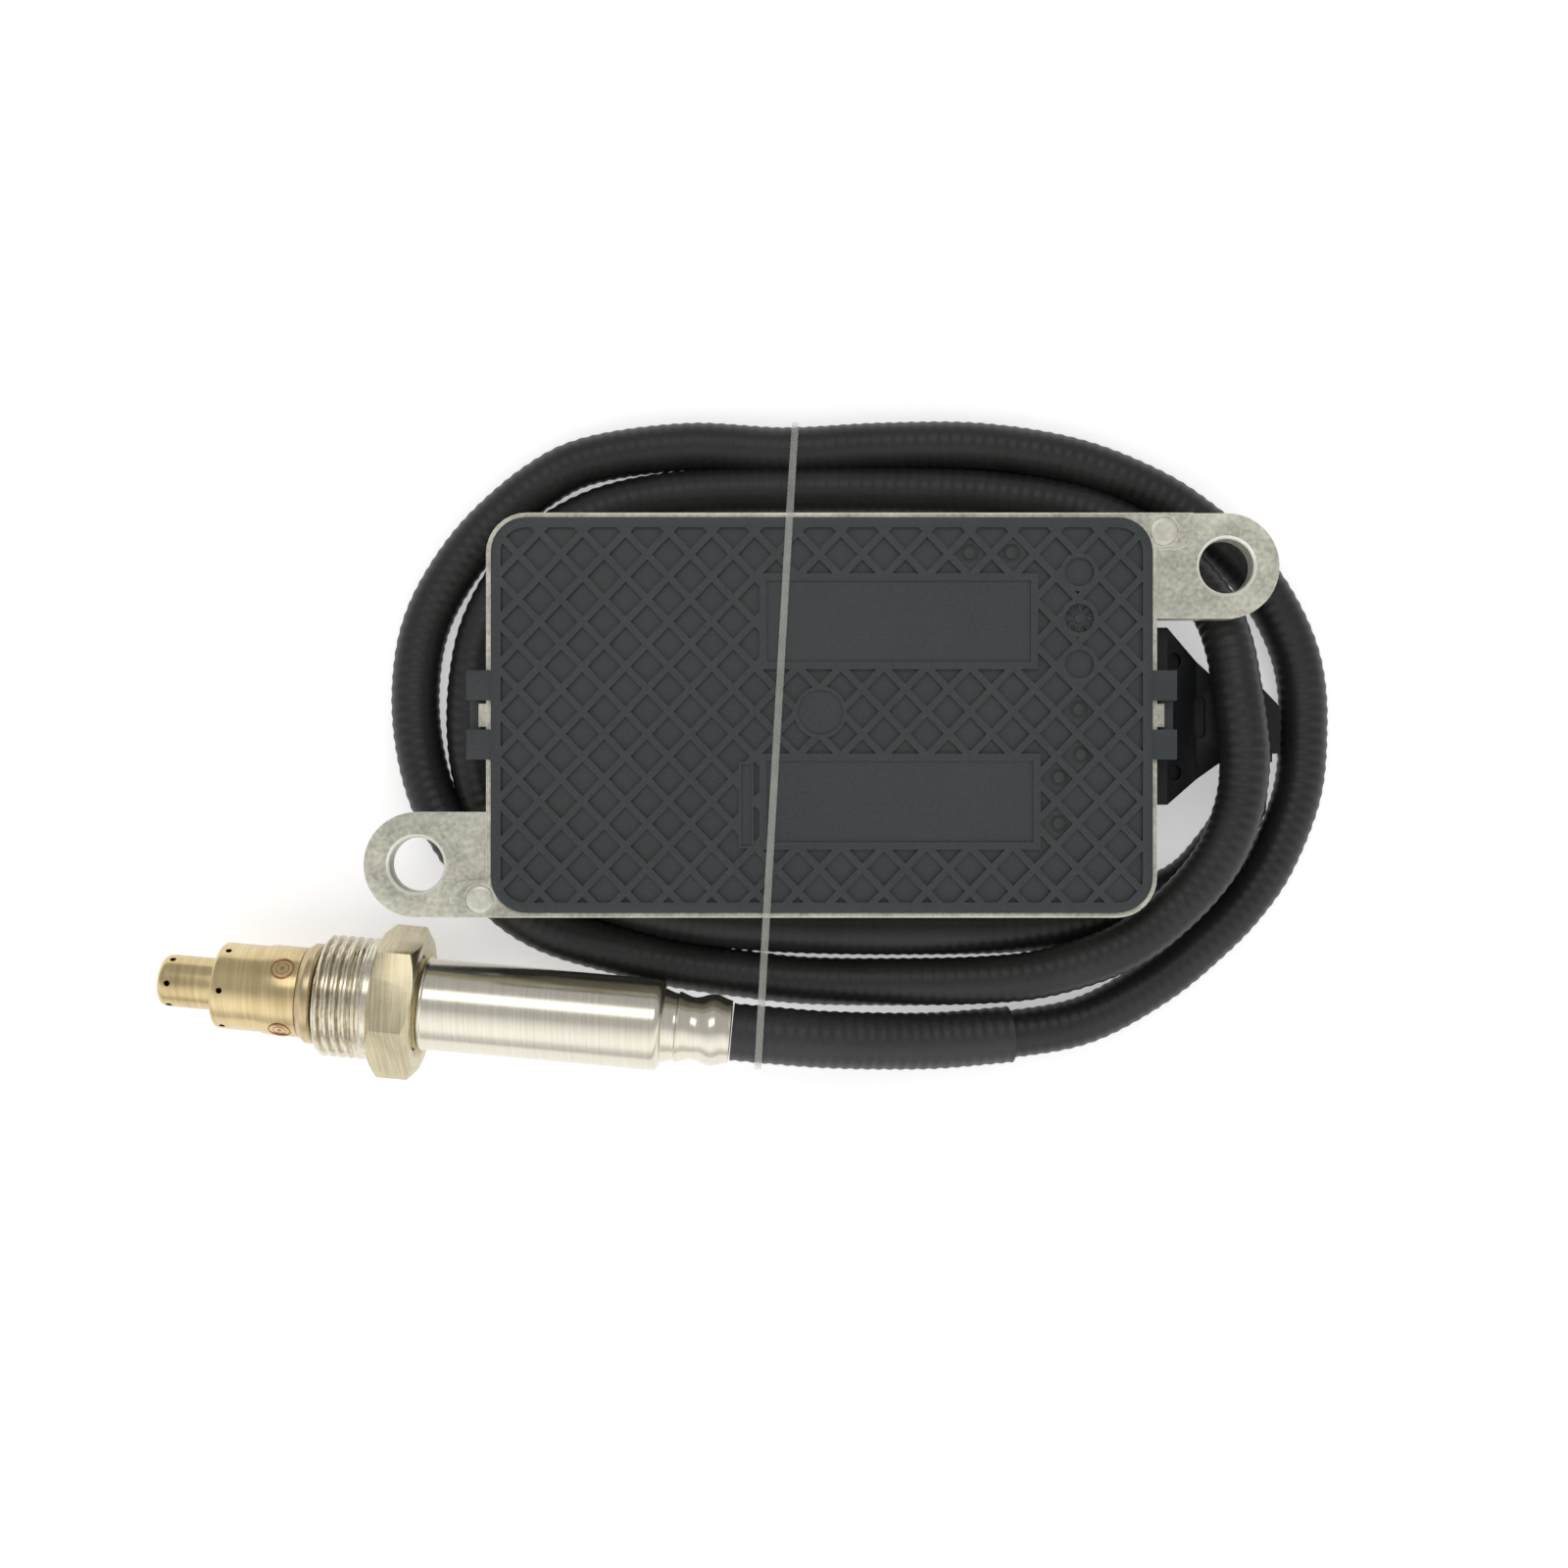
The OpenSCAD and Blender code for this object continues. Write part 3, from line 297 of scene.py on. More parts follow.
# %% [markdown]
# ## Cable
# The cable leaves the probe's collar, winds round the module two and a half times and
# goes into the connector block. Its jacket has soft ribs all the way. A curve with a
# round profile would be smooth, so a node tree sweeps a circle whose size swings with
# the length along the line.

# %% Route of the cable
ROUTE = [(-14.63, -52, 12.3), (-8.5, -52.57, 12.25), (0, -53.4, 11.2), (10, -54, 9), (20, -54.2, 6.8),
         (32, -53.4, 5.2), (45, -51, 4.4), (57, -44.5, 4.2), (65.8, -37.3, 4.2), (71.7, -31.2, 4.2),
         (76.7, -23.8, 4.2), (81, -12.5, 4.2), (82, -1.5, 4.2), (81.5, 7, 4.2), (79.5, 14, 4.2),
         (75.5, 21.5, 4.2), (70.5, 27.5, 4.2), (64.5, 33, 4.2), (56, 38.5, 4.2), (43, 43.5, 4.4),
         (27, 46, 4.8), (10.5, 46, 5), (-6, 45.2, 5), (-22, 46, 4.8), (-38, 44, 4.3), (-47, 40, 4.2),
         (-56.5, 32, 4.2), (-63, 23.5, 4.2), (-67, 15, 4.2), (-68.5, 5.5, 4.2), (-68, -4, 4.2),
         (-65.5, -13.5, 4.6), (-60.5, -22, 6), (-53.5, -30.2, 7.4), (-45.5, -35.5, 7.4),
         (-34, -39.2, 6.2), (-24, -41.6, 5.2), (-13, -43.2, 5), (-2.5, -44.3, 5), (11, -44.5, 5.4),
         (27, -44, 7.4), (38.2, -42.4, 9.8), (50, -38, 12.2), (58.2, -31.6, 13.7), (64.7, -23.9, 14.5),
         (68.2, -15.8, 14.9), (69.4, -8, 15.1), (69, -1.5, 15.1), (68.2, 5, 14.5), (67.5, 11, 13),
         (66.2, 16.5, 10.9), (63.8, 21, 9), (60, 25.8, 7.2), (55, 30.2, 5.7), (48.8, 33.7, 4.8),
         (41, 36.2, 4.4), (28, 38, 4.6), (12, 38.5, 5), (-6, 38.5, 5), (-22.5, 38, 4.6),
         (-34.5, 36, 4.3), (-43, 32.4, 4.2), (-49.5, 27.3, 4.2), (-54.6, 20.5, 4.2), (-58, 12, 4.2),
         (-59.3, 0.5, 4.2), (-58.2, -10, 4.2), (-54.5, -19, 4.2), (-47.5, -26, 4.2), (-38, -30.3, 4.2),
         (-24.5, -33.8, 4.6), (-7.5, -35.5, 5), (14, -36, 4.8), (35.5, -35.5, 4.3), (49, -33.3, 4.3),
         (61, -28.4, 4.3), (67.2, -22.2, 4.5), (71, -16, 4.9), (71.6, -11.5, 5.2), (71.6, -6, 5.2)]
SLEEVE_LAST = 5


def smooth_line(points, steps=8):
    line = []
    padded = [points[0] * 2 - points[1]] + points + [points[-1] * 2 - points[-2]]
    for a, b, c, d in zip(padded, padded[1:], padded[2:], padded[3:]):
        for k in range(steps):
            t = k / steps
            line.append(0.5 * (2 * b + (c - a) * t + (2 * a - 5 * b + 4 * c - d) * t ** 2
                               + (3 * b - a - 3 * c + d) * t ** 3))
    return line + [points[-1]]


route = [Vector((x * MM, y * MM, z * MM + FLOOR_Z)) for x, y, z in ROUTE]
cable_line = smooth_line(route)
sleeve_line = smooth_line(route[:SLEEVE_LAST + 1])
cable_length = sum((b - a).length for a, b in zip(cable_line, cable_line[1:]))
print("cable length, m:", round(cable_length, 3))

# %% Finishes of the cable
jacket = finish("cable jacket", (0.008, 0.0085, 0.008), (0.020, 0.021, 0.020), 0.42, grain=2600,
                grain_bump=0.35, depth=0.06, spots=0.5, spot_scale=90, rough_spread=0.1, specular=0.4)
sleeve_finish = finish("sleeve", (0.014, 0.015, 0.015), (0.026, 0.027, 0.027), 0.46, grain=1500,
                       grain_bump=0.3, depth=0.1, spots=0.4, spot_scale=120)

# %% Tree that sweeps a ribbed hose
hose = Tree("ribbed hose", {"Step": float, "Radius": float, "Rib pitch": float, "Rib height": float,
                            "Sides": int, "Finish": bpy.types.Material})
hose_in = hose.start.outputs
hose_curve = hose.node("GeometryNodeMeshToCurve", {"Mesh": hose_in["Geometry"]}).outputs[0]
hose_even = hose.node("GeometryNodeResampleCurve", {"Curve": hose_curve, "Length": hose_in["Step"]},
                      mode="LENGTH").outputs[0]
hose_at = hose.node("GeometryNodeSplineParameter").outputs["Length"]
hose_turns = hose.math("MULTIPLY", hose.math("DIVIDE", hose_at, hose_in["Rib pitch"]), 2 * math.pi)
hose_swing = hose.math("MULTIPLY", hose.math("COSINE", hose_turns), hose_in["Rib height"])
hose_size = hose.math("ADD", hose_in["Radius"], hose_swing)
hose_round = hose.node("GeometryNodeCurvePrimitiveCircle", {"Resolution": hose_in["Sides"],
                                                            "Radius": 1.0}).outputs[0]
hose_mesh = hose.node("GeometryNodeCurveToMesh", {"Curve": hose_even, "Profile Curve": hose_round,
                                                  "Scale": hose_size, "Fill Caps": True}).outputs[0]
hose.finish(hose_mesh, hose_in["Finish"])


def line_object(name, line):
    mesh = bpy.data.meshes.new(name)
    mesh.from_pydata([tuple(p) for p in line], [(i, i + 1) for i in range(len(line) - 1)], [])
    return add_object(name, mesh)

# %% Sweep the cable and its sleeve
STEP, RIB_PITCH = 0.4 * MM, 1.9 * MM
cable = grow(line_object("cable", cable_line), hose, {"Step": STEP, "Radius": 4.0 * MM,
                                                      "Rib pitch": RIB_PITCH, "Rib height": 0.075 * MM,
                                                      "Sides": 22, "Finish": jacket})
sleeve = grow(line_object("cable_sleeve", sleeve_line), hose, {"Step": STEP, "Radius": 4.7 * MM,
                                                               "Rib pitch": RIB_PITCH,
                                                               "Rib height": 0.09 * MM, "Sides": 28,
                                                               "Finish": sleeve_finish})
for piece in (cable, sleeve):
    smooth(piece.data, 60)
settle(cable, jacket, "sensor", "cable_jacket", "sensor_cable")
settle(sleeve, sleeve_finish, "sensor", "sleeve_jacket", "end_sleeve")

# %% [markdown]
# ## Module housing
# The housing is one aluminium casting. Its skin is a fine grain of light and dark
# specks, like very fine sand, which shows best on the ears.

# %% Painted highlight on the edges of a casting
def paint_edge_highlight(material, colour):
    """Paint a highlight on rounded edges, which are neither level nor upright, by blending towards a
    brighter colour.
    """
    tree = material.node_tree
    shader = tree.nodes["Principled BSDF"]
    where = tree.nodes.new("ShaderNodeTexCoord")
    split = tree.nodes.new("ShaderNodeSeparateXYZ")
    size = tree.nodes.new("ShaderNodeMath")
    size.operation = "ABSOLUTE"
    highlight_share = tree.nodes.new("ShaderNodeValToRGB")
    stops = highlight_share.color_ramp.elements
    # Share of the painted highlight, by how steeply the surface slopes
    for k, (level, strength) in enumerate([(0.12, 0.0), (0.30, 0.9), (0.80, 0.9), (0.995, 0.0)]):
        stop = stops[k] if k < 2 else stops.new(level)
        stop.position = level
        stop.color = (strength, strength, strength, 1)
    tree.links.new(where.outputs["Normal"], split.inputs[0])
    tree.links.new(split.outputs["Z"], size.inputs[0])
    tree.links.new(size.outputs[0], highlight_share.inputs["Fac"])
    blend = tree.nodes.new("ShaderNodeMix")
    blend.data_type = "RGBA"
    before = shader.inputs["Base Color"].links[0].from_socket
    tree.links.new(highlight_share.outputs["Color"], blend.inputs["Factor"])
    tree.links.new(before, blend.inputs[6])
    blend.inputs[7].default_value = (*colour, 1)
    tree.links.new(blend.outputs[2], shader.inputs["Base Color"])

# %% Cast housing
cast = finish("cast aluminium", (0.32, 0.31, 0.25), (0.74, 0.72, 0.60), 0.40, metallic=0.55, grain=1300,
              grain_bump=0.3, depth=0.10, spots=0.5, spot_scale=200, rough_spread=0.14)
# The sloped faces of the rounded edges get a painted highlight in a near-white colour
paint_edge_highlight(cast, (0.97, 0.96, 0.88))
housing = softened("module_housing", "housing", width=0.22)
settle(housing, cast, "sensor", "cast_aluminium", "module_housing")

# %% [markdown]
# ## Cover
# The cover is moulded in dark plastic with crossed ribs that leave diamond cells. The
# ribs are in the solid already, so the copy only gets its edges softened.

# %% Moulded cover
cover_plastic = finish("cover plastic", (0.021, 0.026, 0.027), (0.036, 0.041, 0.042), 0.5, grain=2300,
                       grain_bump=0.25, depth=0.05, spots=0.3, spot_scale=60, rough_spread=0.06)
cover = softened("module_cover", "cover", width=0.09)
settle(cover, cover_plastic, "sensor", "cover_plastic", "module_cover")

# %% [markdown]
# ## Connector block
# The block is moulded in black plastic and carries the socket and the cable's outlet.

# %% Connector block
block_plastic = finish("block plastic", (0.008, 0.0085, 0.010), (0.012, 0.013, 0.014), 0.5, grain=1800,
                       grain_bump=0.2, depth=0.05, rough_spread=0.06, specular=0.25)
block = softened("connector_block", "connector_block_soft", width=0.2)
settle(block, block_plastic, "sensor", "block_plastic", "connector_block")

# %% [markdown]
# ## Probe
# All the probe's metal is turned or drawn, so each piece but the nut is a spun profile.
# The tube is polished, the nut is left from the lathe, and the caps are straw-coloured
# from heat.

# %% Finishes of the probe
tube_polish = finish("polished tube", (0.66, 0.62, 0.52), (0.76, 0.72, 0.62), 0.2, metallic=1.0,
                     grain=60, grain_bump=0.04, depth=0.02, stretch=(40, 1, 1), turn=PROBE_TURN,
                     spots=0.3, spot_scale=50, rough_spread=0.05)
nut_metal = finish("turned nut", (0.44, 0.38, 0.25), (0.72, 0.64, 0.44), 0.28, metallic=1.0, grain=110,
                   grain_bump=0.3, depth=0.05, stretch=(30, 1, 1), turn=PROBE_TURN, spots=0.35,
                   spot_scale=180, rough_spread=0.1)
body_metal = finish("probe steel", (0.44, 0.35, 0.20), (0.66, 0.54, 0.34), 0.28, metallic=1.0, grain=90,
                    grain_bump=0.1, depth=0.03, stretch=(30, 1, 1), turn=PROBE_TURN, spots=0.4,
                    spot_scale=150)
cap_metal = finish("straw-coloured cap", (0.50, 0.38, 0.19), (0.76, 0.62, 0.36), 0.24, metallic=1.0,
                   grain=70, grain_bump=0.08, depth=0.03, stretch=(20, 1, 1), turn=PROBE_TURN, spots=0.5,
                   spot_scale=110, rough_spread=0.07)

# %% Rear tube with its crimped collar
COLLAR_R, WAVE, WAVE_PITCH, PLAIN, SHEET = 5.5, 0.4, 6.4, 0.4, 0.5
TUBE_R, TUBE_FRONT, TUBE_END, SHOULDER_R, COLLAR_START, COLLAR_END = 7.5, -0.7, 41.3, 1.4, 43.1, 52.5


def collar_radius(x):
    """Radius at a distance from the collar's start: a wave, after a short plain part."""
    return COLLAR_R + (WAVE * math.cos(x * 2 * math.pi / WAVE_PITCH) if x > PLAIN else 0)


collar_steps = [k * (COLLAR_END - COLLAR_START) / 48 for k in range(49)]
collar = [(collar_radius(x), COLLAR_START + x) for x in collar_steps]
shoulder = [(TUBE_R - SHOULDER_R + SHOULDER_R * math.cos(math.radians(a)),
             TUBE_END - SHOULDER_R + SHOULDER_R * math.sin(math.radians(a))) for a in range(0, 91, 9)]
inside = [(r - SHEET, s) for r, s in reversed(collar)]
bead = [(TUBE_R, 1.7), (7.7, 1.9), (7.7, 2.3), (TUBE_R, 2.5)]
tube_inside = [(5.9, TUBE_END - SHEET), (TUBE_R - SHEET, TUBE_END - 1.6), (TUBE_R - SHEET, TUBE_FRONT)]
rear_profile = [(TUBE_R, TUBE_FRONT)] + bead + shoulder + collar + inside + tube_inside
rear = turned("rear_tube_polished", rounded(rear_profile, 0.2))
settle(rear, tube_polish, "sensor", "polished_tube", "rear_tube")

# %% Probe body with its seat
body_profile = [(4.2, -20.5), (6.55, -20.5), (6.55, -18.0), (7.35, -18.0), (8.25, -16.8), (8.25, -15.7),
                (7.85, -15.3), (6.1, -15.3), (6.1, -0.7), (6.95, -0.7), (6.95, 4.0), (4.2, 4.0)]
body = turned("probe_seat", rounded(body_profile, 0.15))
settle(body, body_metal, "sensor", "probe_steel", "probe_body")

# %% [markdown]
# The caps let the gas through small round holes. A ring of cylinders cuts them from
# each spun shell, because a hole that is only painted looks wrong from the side.

# %% Rings of gas holes
def hole_ring(name, station, radius, hole, count, steps=20):
    points, faces = [], []
    for i in range(count):
        angle = math.radians(360 * i / count)
        out = Vector((math.cos(angle), math.sin(angle), 0))
        side = Vector((-math.sin(angle), math.cos(angle), 0))
        first = len(points)
        for reach in (radius * 0.5, radius * 1.5):
            for k in range(steps):
                a = 2 * math.pi * k / steps
                points.append(out * reach + side * hole * math.cos(a)
                              + Vector((0, 0, station + hole * math.sin(a))))
        last = first + steps
        faces += [tuple(range(first, last)), tuple(range(last, last + steps))]
        faces += [(first + k, first + (k + 1) % steps, last + (k + 1) % steps, last + k)
                  for k in range(steps)]
    return add_mesh(name, points, faces, PROBE)


CAP_FRONT, CAP_R, CAP_MOUTH_R, TIP, TIP_R, TIP_ROUND, METAL = -32.0, 7.1, 4.35, -41.6, 4.3, 1.4, 0.5
GAS_HOLE_R, GAS_HOLES = 0.5, 6
outer_profile = [(CAP_MOUTH_R, CAP_FRONT), (6.3, CAP_FRONT), (6.7, CAP_FRONT + 0.12),
                 (7.0, CAP_FRONT + 0.45), (CAP_R, CAP_FRONT + 0.9), (CAP_R, -24.6), (7.4, -23.4),
                 (7.4, -18.0), (6.6, -18.0), (6.6, CAP_FRONT + METAL), (CAP_MOUTH_R, CAP_FRONT + METAL)]
outer = turned("wide_cap", rounded(outer_profile, 0.12))
cut(outer, hole_ring("wide_cap_holes", CAP_FRONT + 1.8, CAP_R, GAS_HOLE_R, GAS_HOLES))
settle(outer, cap_metal, "sensor", "cap_steel", "outer_cap")
end_round = [(2.9 + TIP_ROUND * math.sin(math.radians(a)),
              TIP + TIP_ROUND - TIP_ROUND * math.cos(math.radians(a))) for a in range(0, 91, 15)]
inner_profile = [(0, TIP)] + end_round + [(TIP_R, -21.0), (6.3, -21.0), (6.3, -20.5), (3.8, -20.5),
                                          (3.8, TIP + TIP_ROUND), (2.9, TIP + METAL), (0, TIP + METAL)]
inner = turned("narrow_cap", inner_profile)
cut(inner, hole_ring("narrow_cap_holes", TIP + 2, TIP_R, GAS_HOLE_R, GAS_HOLES))
settle(inner, cap_metal, "sensor", "cap_steel", "inner_cap")

# %% [markdown]
# ## Weld spots
# Four round spots hold the wide cap to the probe's body. Each shows as two thin rings
# round a small centre. A node tree draws one spot and sets it in each quarter.

# %% Weld spots round the cap
spot_metal = finish("weld spot", (0.30, 0.14, 0.07), (0.50, 0.28, 0.15), 0.35, metallic=1.0, grain=700,
                    grain_bump=0.2, depth=0.03)
# The inner ring and the centre are shares of the outer ring's radius and wire
INNER_RING, CENTRE_R, CENTRE_HEIGHT = (0.58, 0.58, 0.8), 0.2, 1.6
SPOT_STATION, SPOT_TURN = -20.6, 53.5
spots = Tree("spots round a cap", {"Count": int, "Cap radius": float, "Spot radius": float,
                                   "Wire": float, "Finish": bpy.types.Material})
spots_in = spots.start.outputs
spot_line = spots.node("GeometryNodeCurvePrimitiveCircle",
                       {"Resolution": 28, "Radius": spots_in["Spot radius"]}).outputs[0]
spot_wire = spots.node("GeometryNodeCurvePrimitiveCircle",
                       {"Resolution": 8, "Radius": spots_in["Wire"]}).outputs[0]
spot_ring = spots.node("GeometryNodeCurveToMesh", {"Curve": spot_line, "Profile Curve": spot_wire,
                                                   "Scale": 1.0}).outputs[0]
spot_small = spots.node("GeometryNodeTransform", {"Geometry": spot_ring,
                                                  "Scale": INNER_RING}).outputs[0]
centre_size = spots.math("MULTIPLY", spots_in["Spot radius"], CENTRE_R)
centre_height = spots.math("MULTIPLY", spots_in["Wire"], CENTRE_HEIGHT)
spot_centre = spots.node("GeometryNodeMeshCylinder", {"Vertices": 16, "Radius": centre_size,
                                                      "Depth": centre_height}).outputs[0]
spot_whole = spots.node("GeometryNodeJoinGeometry")
for part in (spot_ring, spot_small, spot_centre):
    spots.group.links.new(part, spot_whole.inputs[0])
spot_places = spots.node("GeometryNodeMeshCircle", {"Vertices": spots_in["Count"],
                                                    "Radius": spots_in["Cap radius"]}).outputs[0]
spot_turn = spots.node("FunctionNodeAlignRotationToVector",
                       {"Vector": spots.node("GeometryNodeInputPosition").outputs[0]},
                       axis="Z").outputs[0]
spots.finish(spots.node("GeometryNodeInstanceOnPoints", {"Points": spot_places,
                                                         "Instance": spot_whole.outputs[0],
                                                         "Rotation": spot_turn}).outputs[0],
             spots_in["Finish"])
weld = grow(add_object("weld_spots", bpy.data.meshes.new("weld_spots")), spots,
            {"Count": 4, "Cap radius": 7.3 * MM, "Spot radius": 1.75 * MM, "Wire": 0.17 * MM,
             "Finish": spot_metal})
weld.data.transform(PROBE @ Matrix.Translation((0, 0, SPOT_STATION * MM))
                    @ Matrix.Rotation(math.radians(SPOT_TURN), 4, "Z"))
smooth(weld.data, 60)
settle(weld, spot_metal, "sensor", "cap_steel")

# %% [markdown]
# ## Union nut
# The nut is a hexagon with a threaded shank in front. The hexagon's corners are cut
# back by a cone on both faces, as a lathe does it. The thread is a surface whose
# radius depends on both the turn and the station, which is what a screw is.

# %% Hexagon
HEX_FRONT, HEX_REAR, ACROSS, HEX_TURN = -5.5, 1.5, 22.0, 16
CONE, FACE_R, CONE_R, SHANK_BORE_R, SEAT_BORE_R, EDGE = 1.3, 11.1, 13.1, 6.4, 8.0, 0.18
corners = [(ACROSS / math.sqrt(3) * math.cos(math.radians(HEX_TURN + 60 * k)),
            ACROSS / math.sqrt(3) * math.sin(math.radians(HEX_TURN + 60 * k))) for k in range(6)]
prism_points = [(x, y, HEX_FRONT) for x, y in corners] + [(x, y, HEX_REAR) for x, y in corners]
prism_faces = [tuple(range(6)), tuple(range(6, 12))] + [(k, (k + 1) % 6, 6 + (k + 1) % 6, 6 + k)
                                                        for k in range(6)]
hexagon = add_mesh("nut_hexagon", prism_points, prism_faces, PROBE)
cone_profile = [(0, HEX_FRONT), (FACE_R, HEX_FRONT), (CONE_R, HEX_FRONT + CONE),
                (CONE_R, HEX_REAR - CONE), (FACE_R, HEX_REAR), (0, HEX_REAR)]
cut(hexagon, turned("nut_cones", cone_profile), "INTERSECT")
bore_profile = [(0, HEX_FRONT - 1), (SHANK_BORE_R, HEX_FRONT - 1), (SHANK_BORE_R, -1.0),
                (SEAT_BORE_R, -1.0), (SEAT_BORE_R, HEX_REAR - 1), (9.5, HEX_REAR + 0.5),
                (0, HEX_REAR + 0.5)]
cut(hexagon, turned("nut_bore", bore_profile))
edge = hexagon.modifiers.new("edge", "BEVEL")
edge.width, edge.segments = EDGE * MM, 2
edge.limit_method, edge.angle_limit = "ANGLE", math.radians(28)
hexagon.data = evaluated_mesh(hexagon)
hexagon.modifiers.clear()
smooth(hexagon.data, 20)
settle(hexagon, nut_metal, "nut", "nut_steel", "union_nut")
print("hexagon faces:", len(hexagon.data.polygons))

# %% Thread
PITCH, CREST, ROOT, BORE_R = 1.5, 9.98, 9.12, 6.45
THREAD_FRONT, THREAD_REAR, RUN_OUT, TURN_STEPS = -14.7, -5.5, 3.2, 120


def thread_radius(station, turn):
    """Flat crests and roots with straight flanks, cut down at the front, faded out at the rear."""
    phase = ((station - THREAD_FRONT) / PITCH - turn / (2 * math.pi)) % 1
    flank = min(1.0, max(0.0, 2.4 * abs(2 * phase - 1) - 0.7))
    lead_in = ROOT + 0.1 + (station - THREAD_FRONT) * 1.1
    fade = min(1.0, max(0.0, (THREAD_REAR - 0.6 - station) / RUN_OUT))
    return min(CREST - (CREST - ROOT) * (1 - flank) * fade, lead_in)


thread_points, thread_faces = [], []
stations = [THREAD_FRONT + k * 0.1 for k in range(93)]
for i in range(TURN_STEPS):
    turn = 2 * math.pi * i / TURN_STEPS
    ring = ([(BORE_R, THREAD_FRONT)] + [(thread_radius(s, turn), s) for s in stations]
            + [(CREST, THREAD_REAR + 0.2), (BORE_R, THREAD_REAR + 0.2)])
    thread_points += [(r * math.cos(turn), r * math.sin(turn), s) for r, s in ring]
    for k in range(len(ring)):
        a, b = i * len(ring) + k, i * len(ring) + (k + 1) % len(ring)
        after = (i + 1) % TURN_STEPS * len(ring)
        thread_faces.append((a, b, after + (k + 1) % len(ring), after + k))
thread_metal = finish("thread", (0.52, 0.47, 0.36), (0.78, 0.73, 0.61), 0.22, metallic=1.0, grain=700,
                      grain_bump=0.15, depth=0.03, spots=0.4, spot_scale=200, rough_spread=0.08)
thread = add_mesh("nut_thread", thread_points, thread_faces, PROBE, sharp=50)
settle(thread, thread_metal, "nut", "nut_steel")
print("thread faces:", len(thread_faces))

# %% [markdown]
# ## Clear band
# A thin clear elastic band holds the coil to the module. It shows as a pale line that
# is mostly see-through, so its shader has an alpha well below one.

# %% Band
clear = finish("clear band", (0.55, 0.56, 0.50), (0.80, 0.81, 0.74), 0.3, grain=300, grain_bump=0.2,
               depth=0.1, spots=0.5, spot_scale=60, coat=0.4)
clear.node_tree.nodes["Principled BSDF"].inputs["Alpha"].default_value = 0.22
band = softened("coil_band", "coil_band_clear", width=0.18)
settle(band, clear, "sensor", "clear_band", "coil_band")

# %% [markdown]
# ## Dials on the cover
# The mould leaves three round dials beside the upper panel. The middle one has a ring
# of short ticks round a low hub, which a tree sets.

# %% Dials
DIAL_SPOT = Vector((41.3, 15.5, 20.7 + FLOOR_MM)) * MM
HUB_R = 0.42  # a share of the dial's radius
dial = Tree("mould dial", {"Ticks": int, "Dial radius": float, "Tick length": float,
                           "Tick width": float, "Height": float, "Finish": bpy.types.Material})
dial_in = dial.start.outputs
tick_size = dial.node("ShaderNodeCombineXYZ", {"X": dial_in["Tick width"], "Y": dial_in["Height"],
                                               "Z": dial_in["Tick length"]}).outputs[0]
tick = dial.node("GeometryNodeMeshCube", {"Size": tick_size}).outputs[0]
tick_places = dial.node("GeometryNodeMeshCircle", {"Vertices": dial_in["Ticks"],
                                                   "Radius": dial_in["Dial radius"]}).outputs[0]
tick_turn = dial.node("FunctionNodeAlignEulerToVector",
                      {"Vector": dial.node("GeometryNodeInputPosition").outputs[0]}, axis="Z",
                      pivot_axis="AUTO").outputs[0]
ticks = dial.node("GeometryNodeInstanceOnPoints", {"Points": tick_places, "Instance": tick,
                                                   "Rotation": tick_turn}).outputs[0]
hub_size = dial.math("MULTIPLY", dial_in["Dial radius"], HUB_R)
hub = dial.node("GeometryNodeMeshCylinder", {"Vertices": 32, "Radius": hub_size,
                                             "Depth": dial_in["Height"]}).outputs[0]
both = dial.node("GeometryNodeJoinGeometry")
for part in (ticks, hub):
    dial.group.links.new(part, both.inputs[0])
dial.finish(both.outputs[0], dial_in["Finish"])
made = grow(add_object("cover_dial", bpy.data.meshes.new("dial")), dial,
            {"Ticks": 12, "Dial radius": 1.75 * MM, "Tick length": 0.8 * MM, "Tick width": 0.3 * MM,
             "Height": 0.4 * MM, "Finish": cover_plastic})
made.data.transform(Matrix.Translation(DIAL_SPOT))
smooth(made.data, 30)
settle(made, cover_plastic, "sensor", "cover_plastic")

# %% [markdown]
# ## Ejector marks
# A smooth, slightly raised disc stands on the corner pad of each ear, where a pin pushed
# the casting out of its mould.

# %% Discs on the ears
pad_metal = finish("smooth casting", (0.55, 0.54, 0.45), (0.82, 0.80, 0.69), 0.36, metallic=0.55,
                   grain=900, grain_bump=0.3, depth=0.05, spots=0.5, spot_scale=300, rough_spread=0.1)
PAD_X, PAD_Y = 55.05, 29.65
disc_profile = [(0, 4.45), (2.05, 4.45), (2.05, 4.68), (1.9, 4.76), (1.2, 4.70), (0, 4.70)]
for side, name in ((1, "right"), (-1, "left")):
    disc = turned("ejector_mark_" + name, disc_profile, 48,
                  Matrix.Translation(Vector((side * PAD_X, side * PAD_Y, 0)) * MM))
    settle(disc, pad_metal, "sensor", "cast_aluminium")

# %% [markdown]
# ## Pieces inside
# The board, its parts, the seals and the ceramic core keep the frame's solids, which
# have the right shape, and get finishes of their own.

# %% Finishes of the pieces inside
rubber_black = finish("black rubber", (0.012, 0.012, 0.012), (0.03, 0.03, 0.03), 0.7, grain=1200,
                      grain_bump=0.3, depth=0.05)
silicone = finish("red silicone", (0.42, 0.07, 0.02), (0.55, 0.12, 0.04), 0.5, grain=900,
                  grain_bump=0.15)
laminate = finish("board laminate", (0.015, 0.10, 0.035), (0.03, 0.17, 0.06), 0.35, grain=500,
                  grain_bump=0.1, coat=0.5)
chip = finish("chip", (0.012, 0.012, 0.013), (0.025, 0.025, 0.027), 0.55, grain=2500, grain_bump=0.4)
can = finish("capacitor can", (0.60, 0.60, 0.61), (0.72, 0.72, 0.73), 0.3, metallic=1.0, grain=80,
             grain_bump=0.05, stretch=(1, 1, 20))
ferrite = finish("coil body", (0.04, 0.04, 0.042), (0.07, 0.07, 0.072), 0.5, grain=1500, grain_bump=0.3)
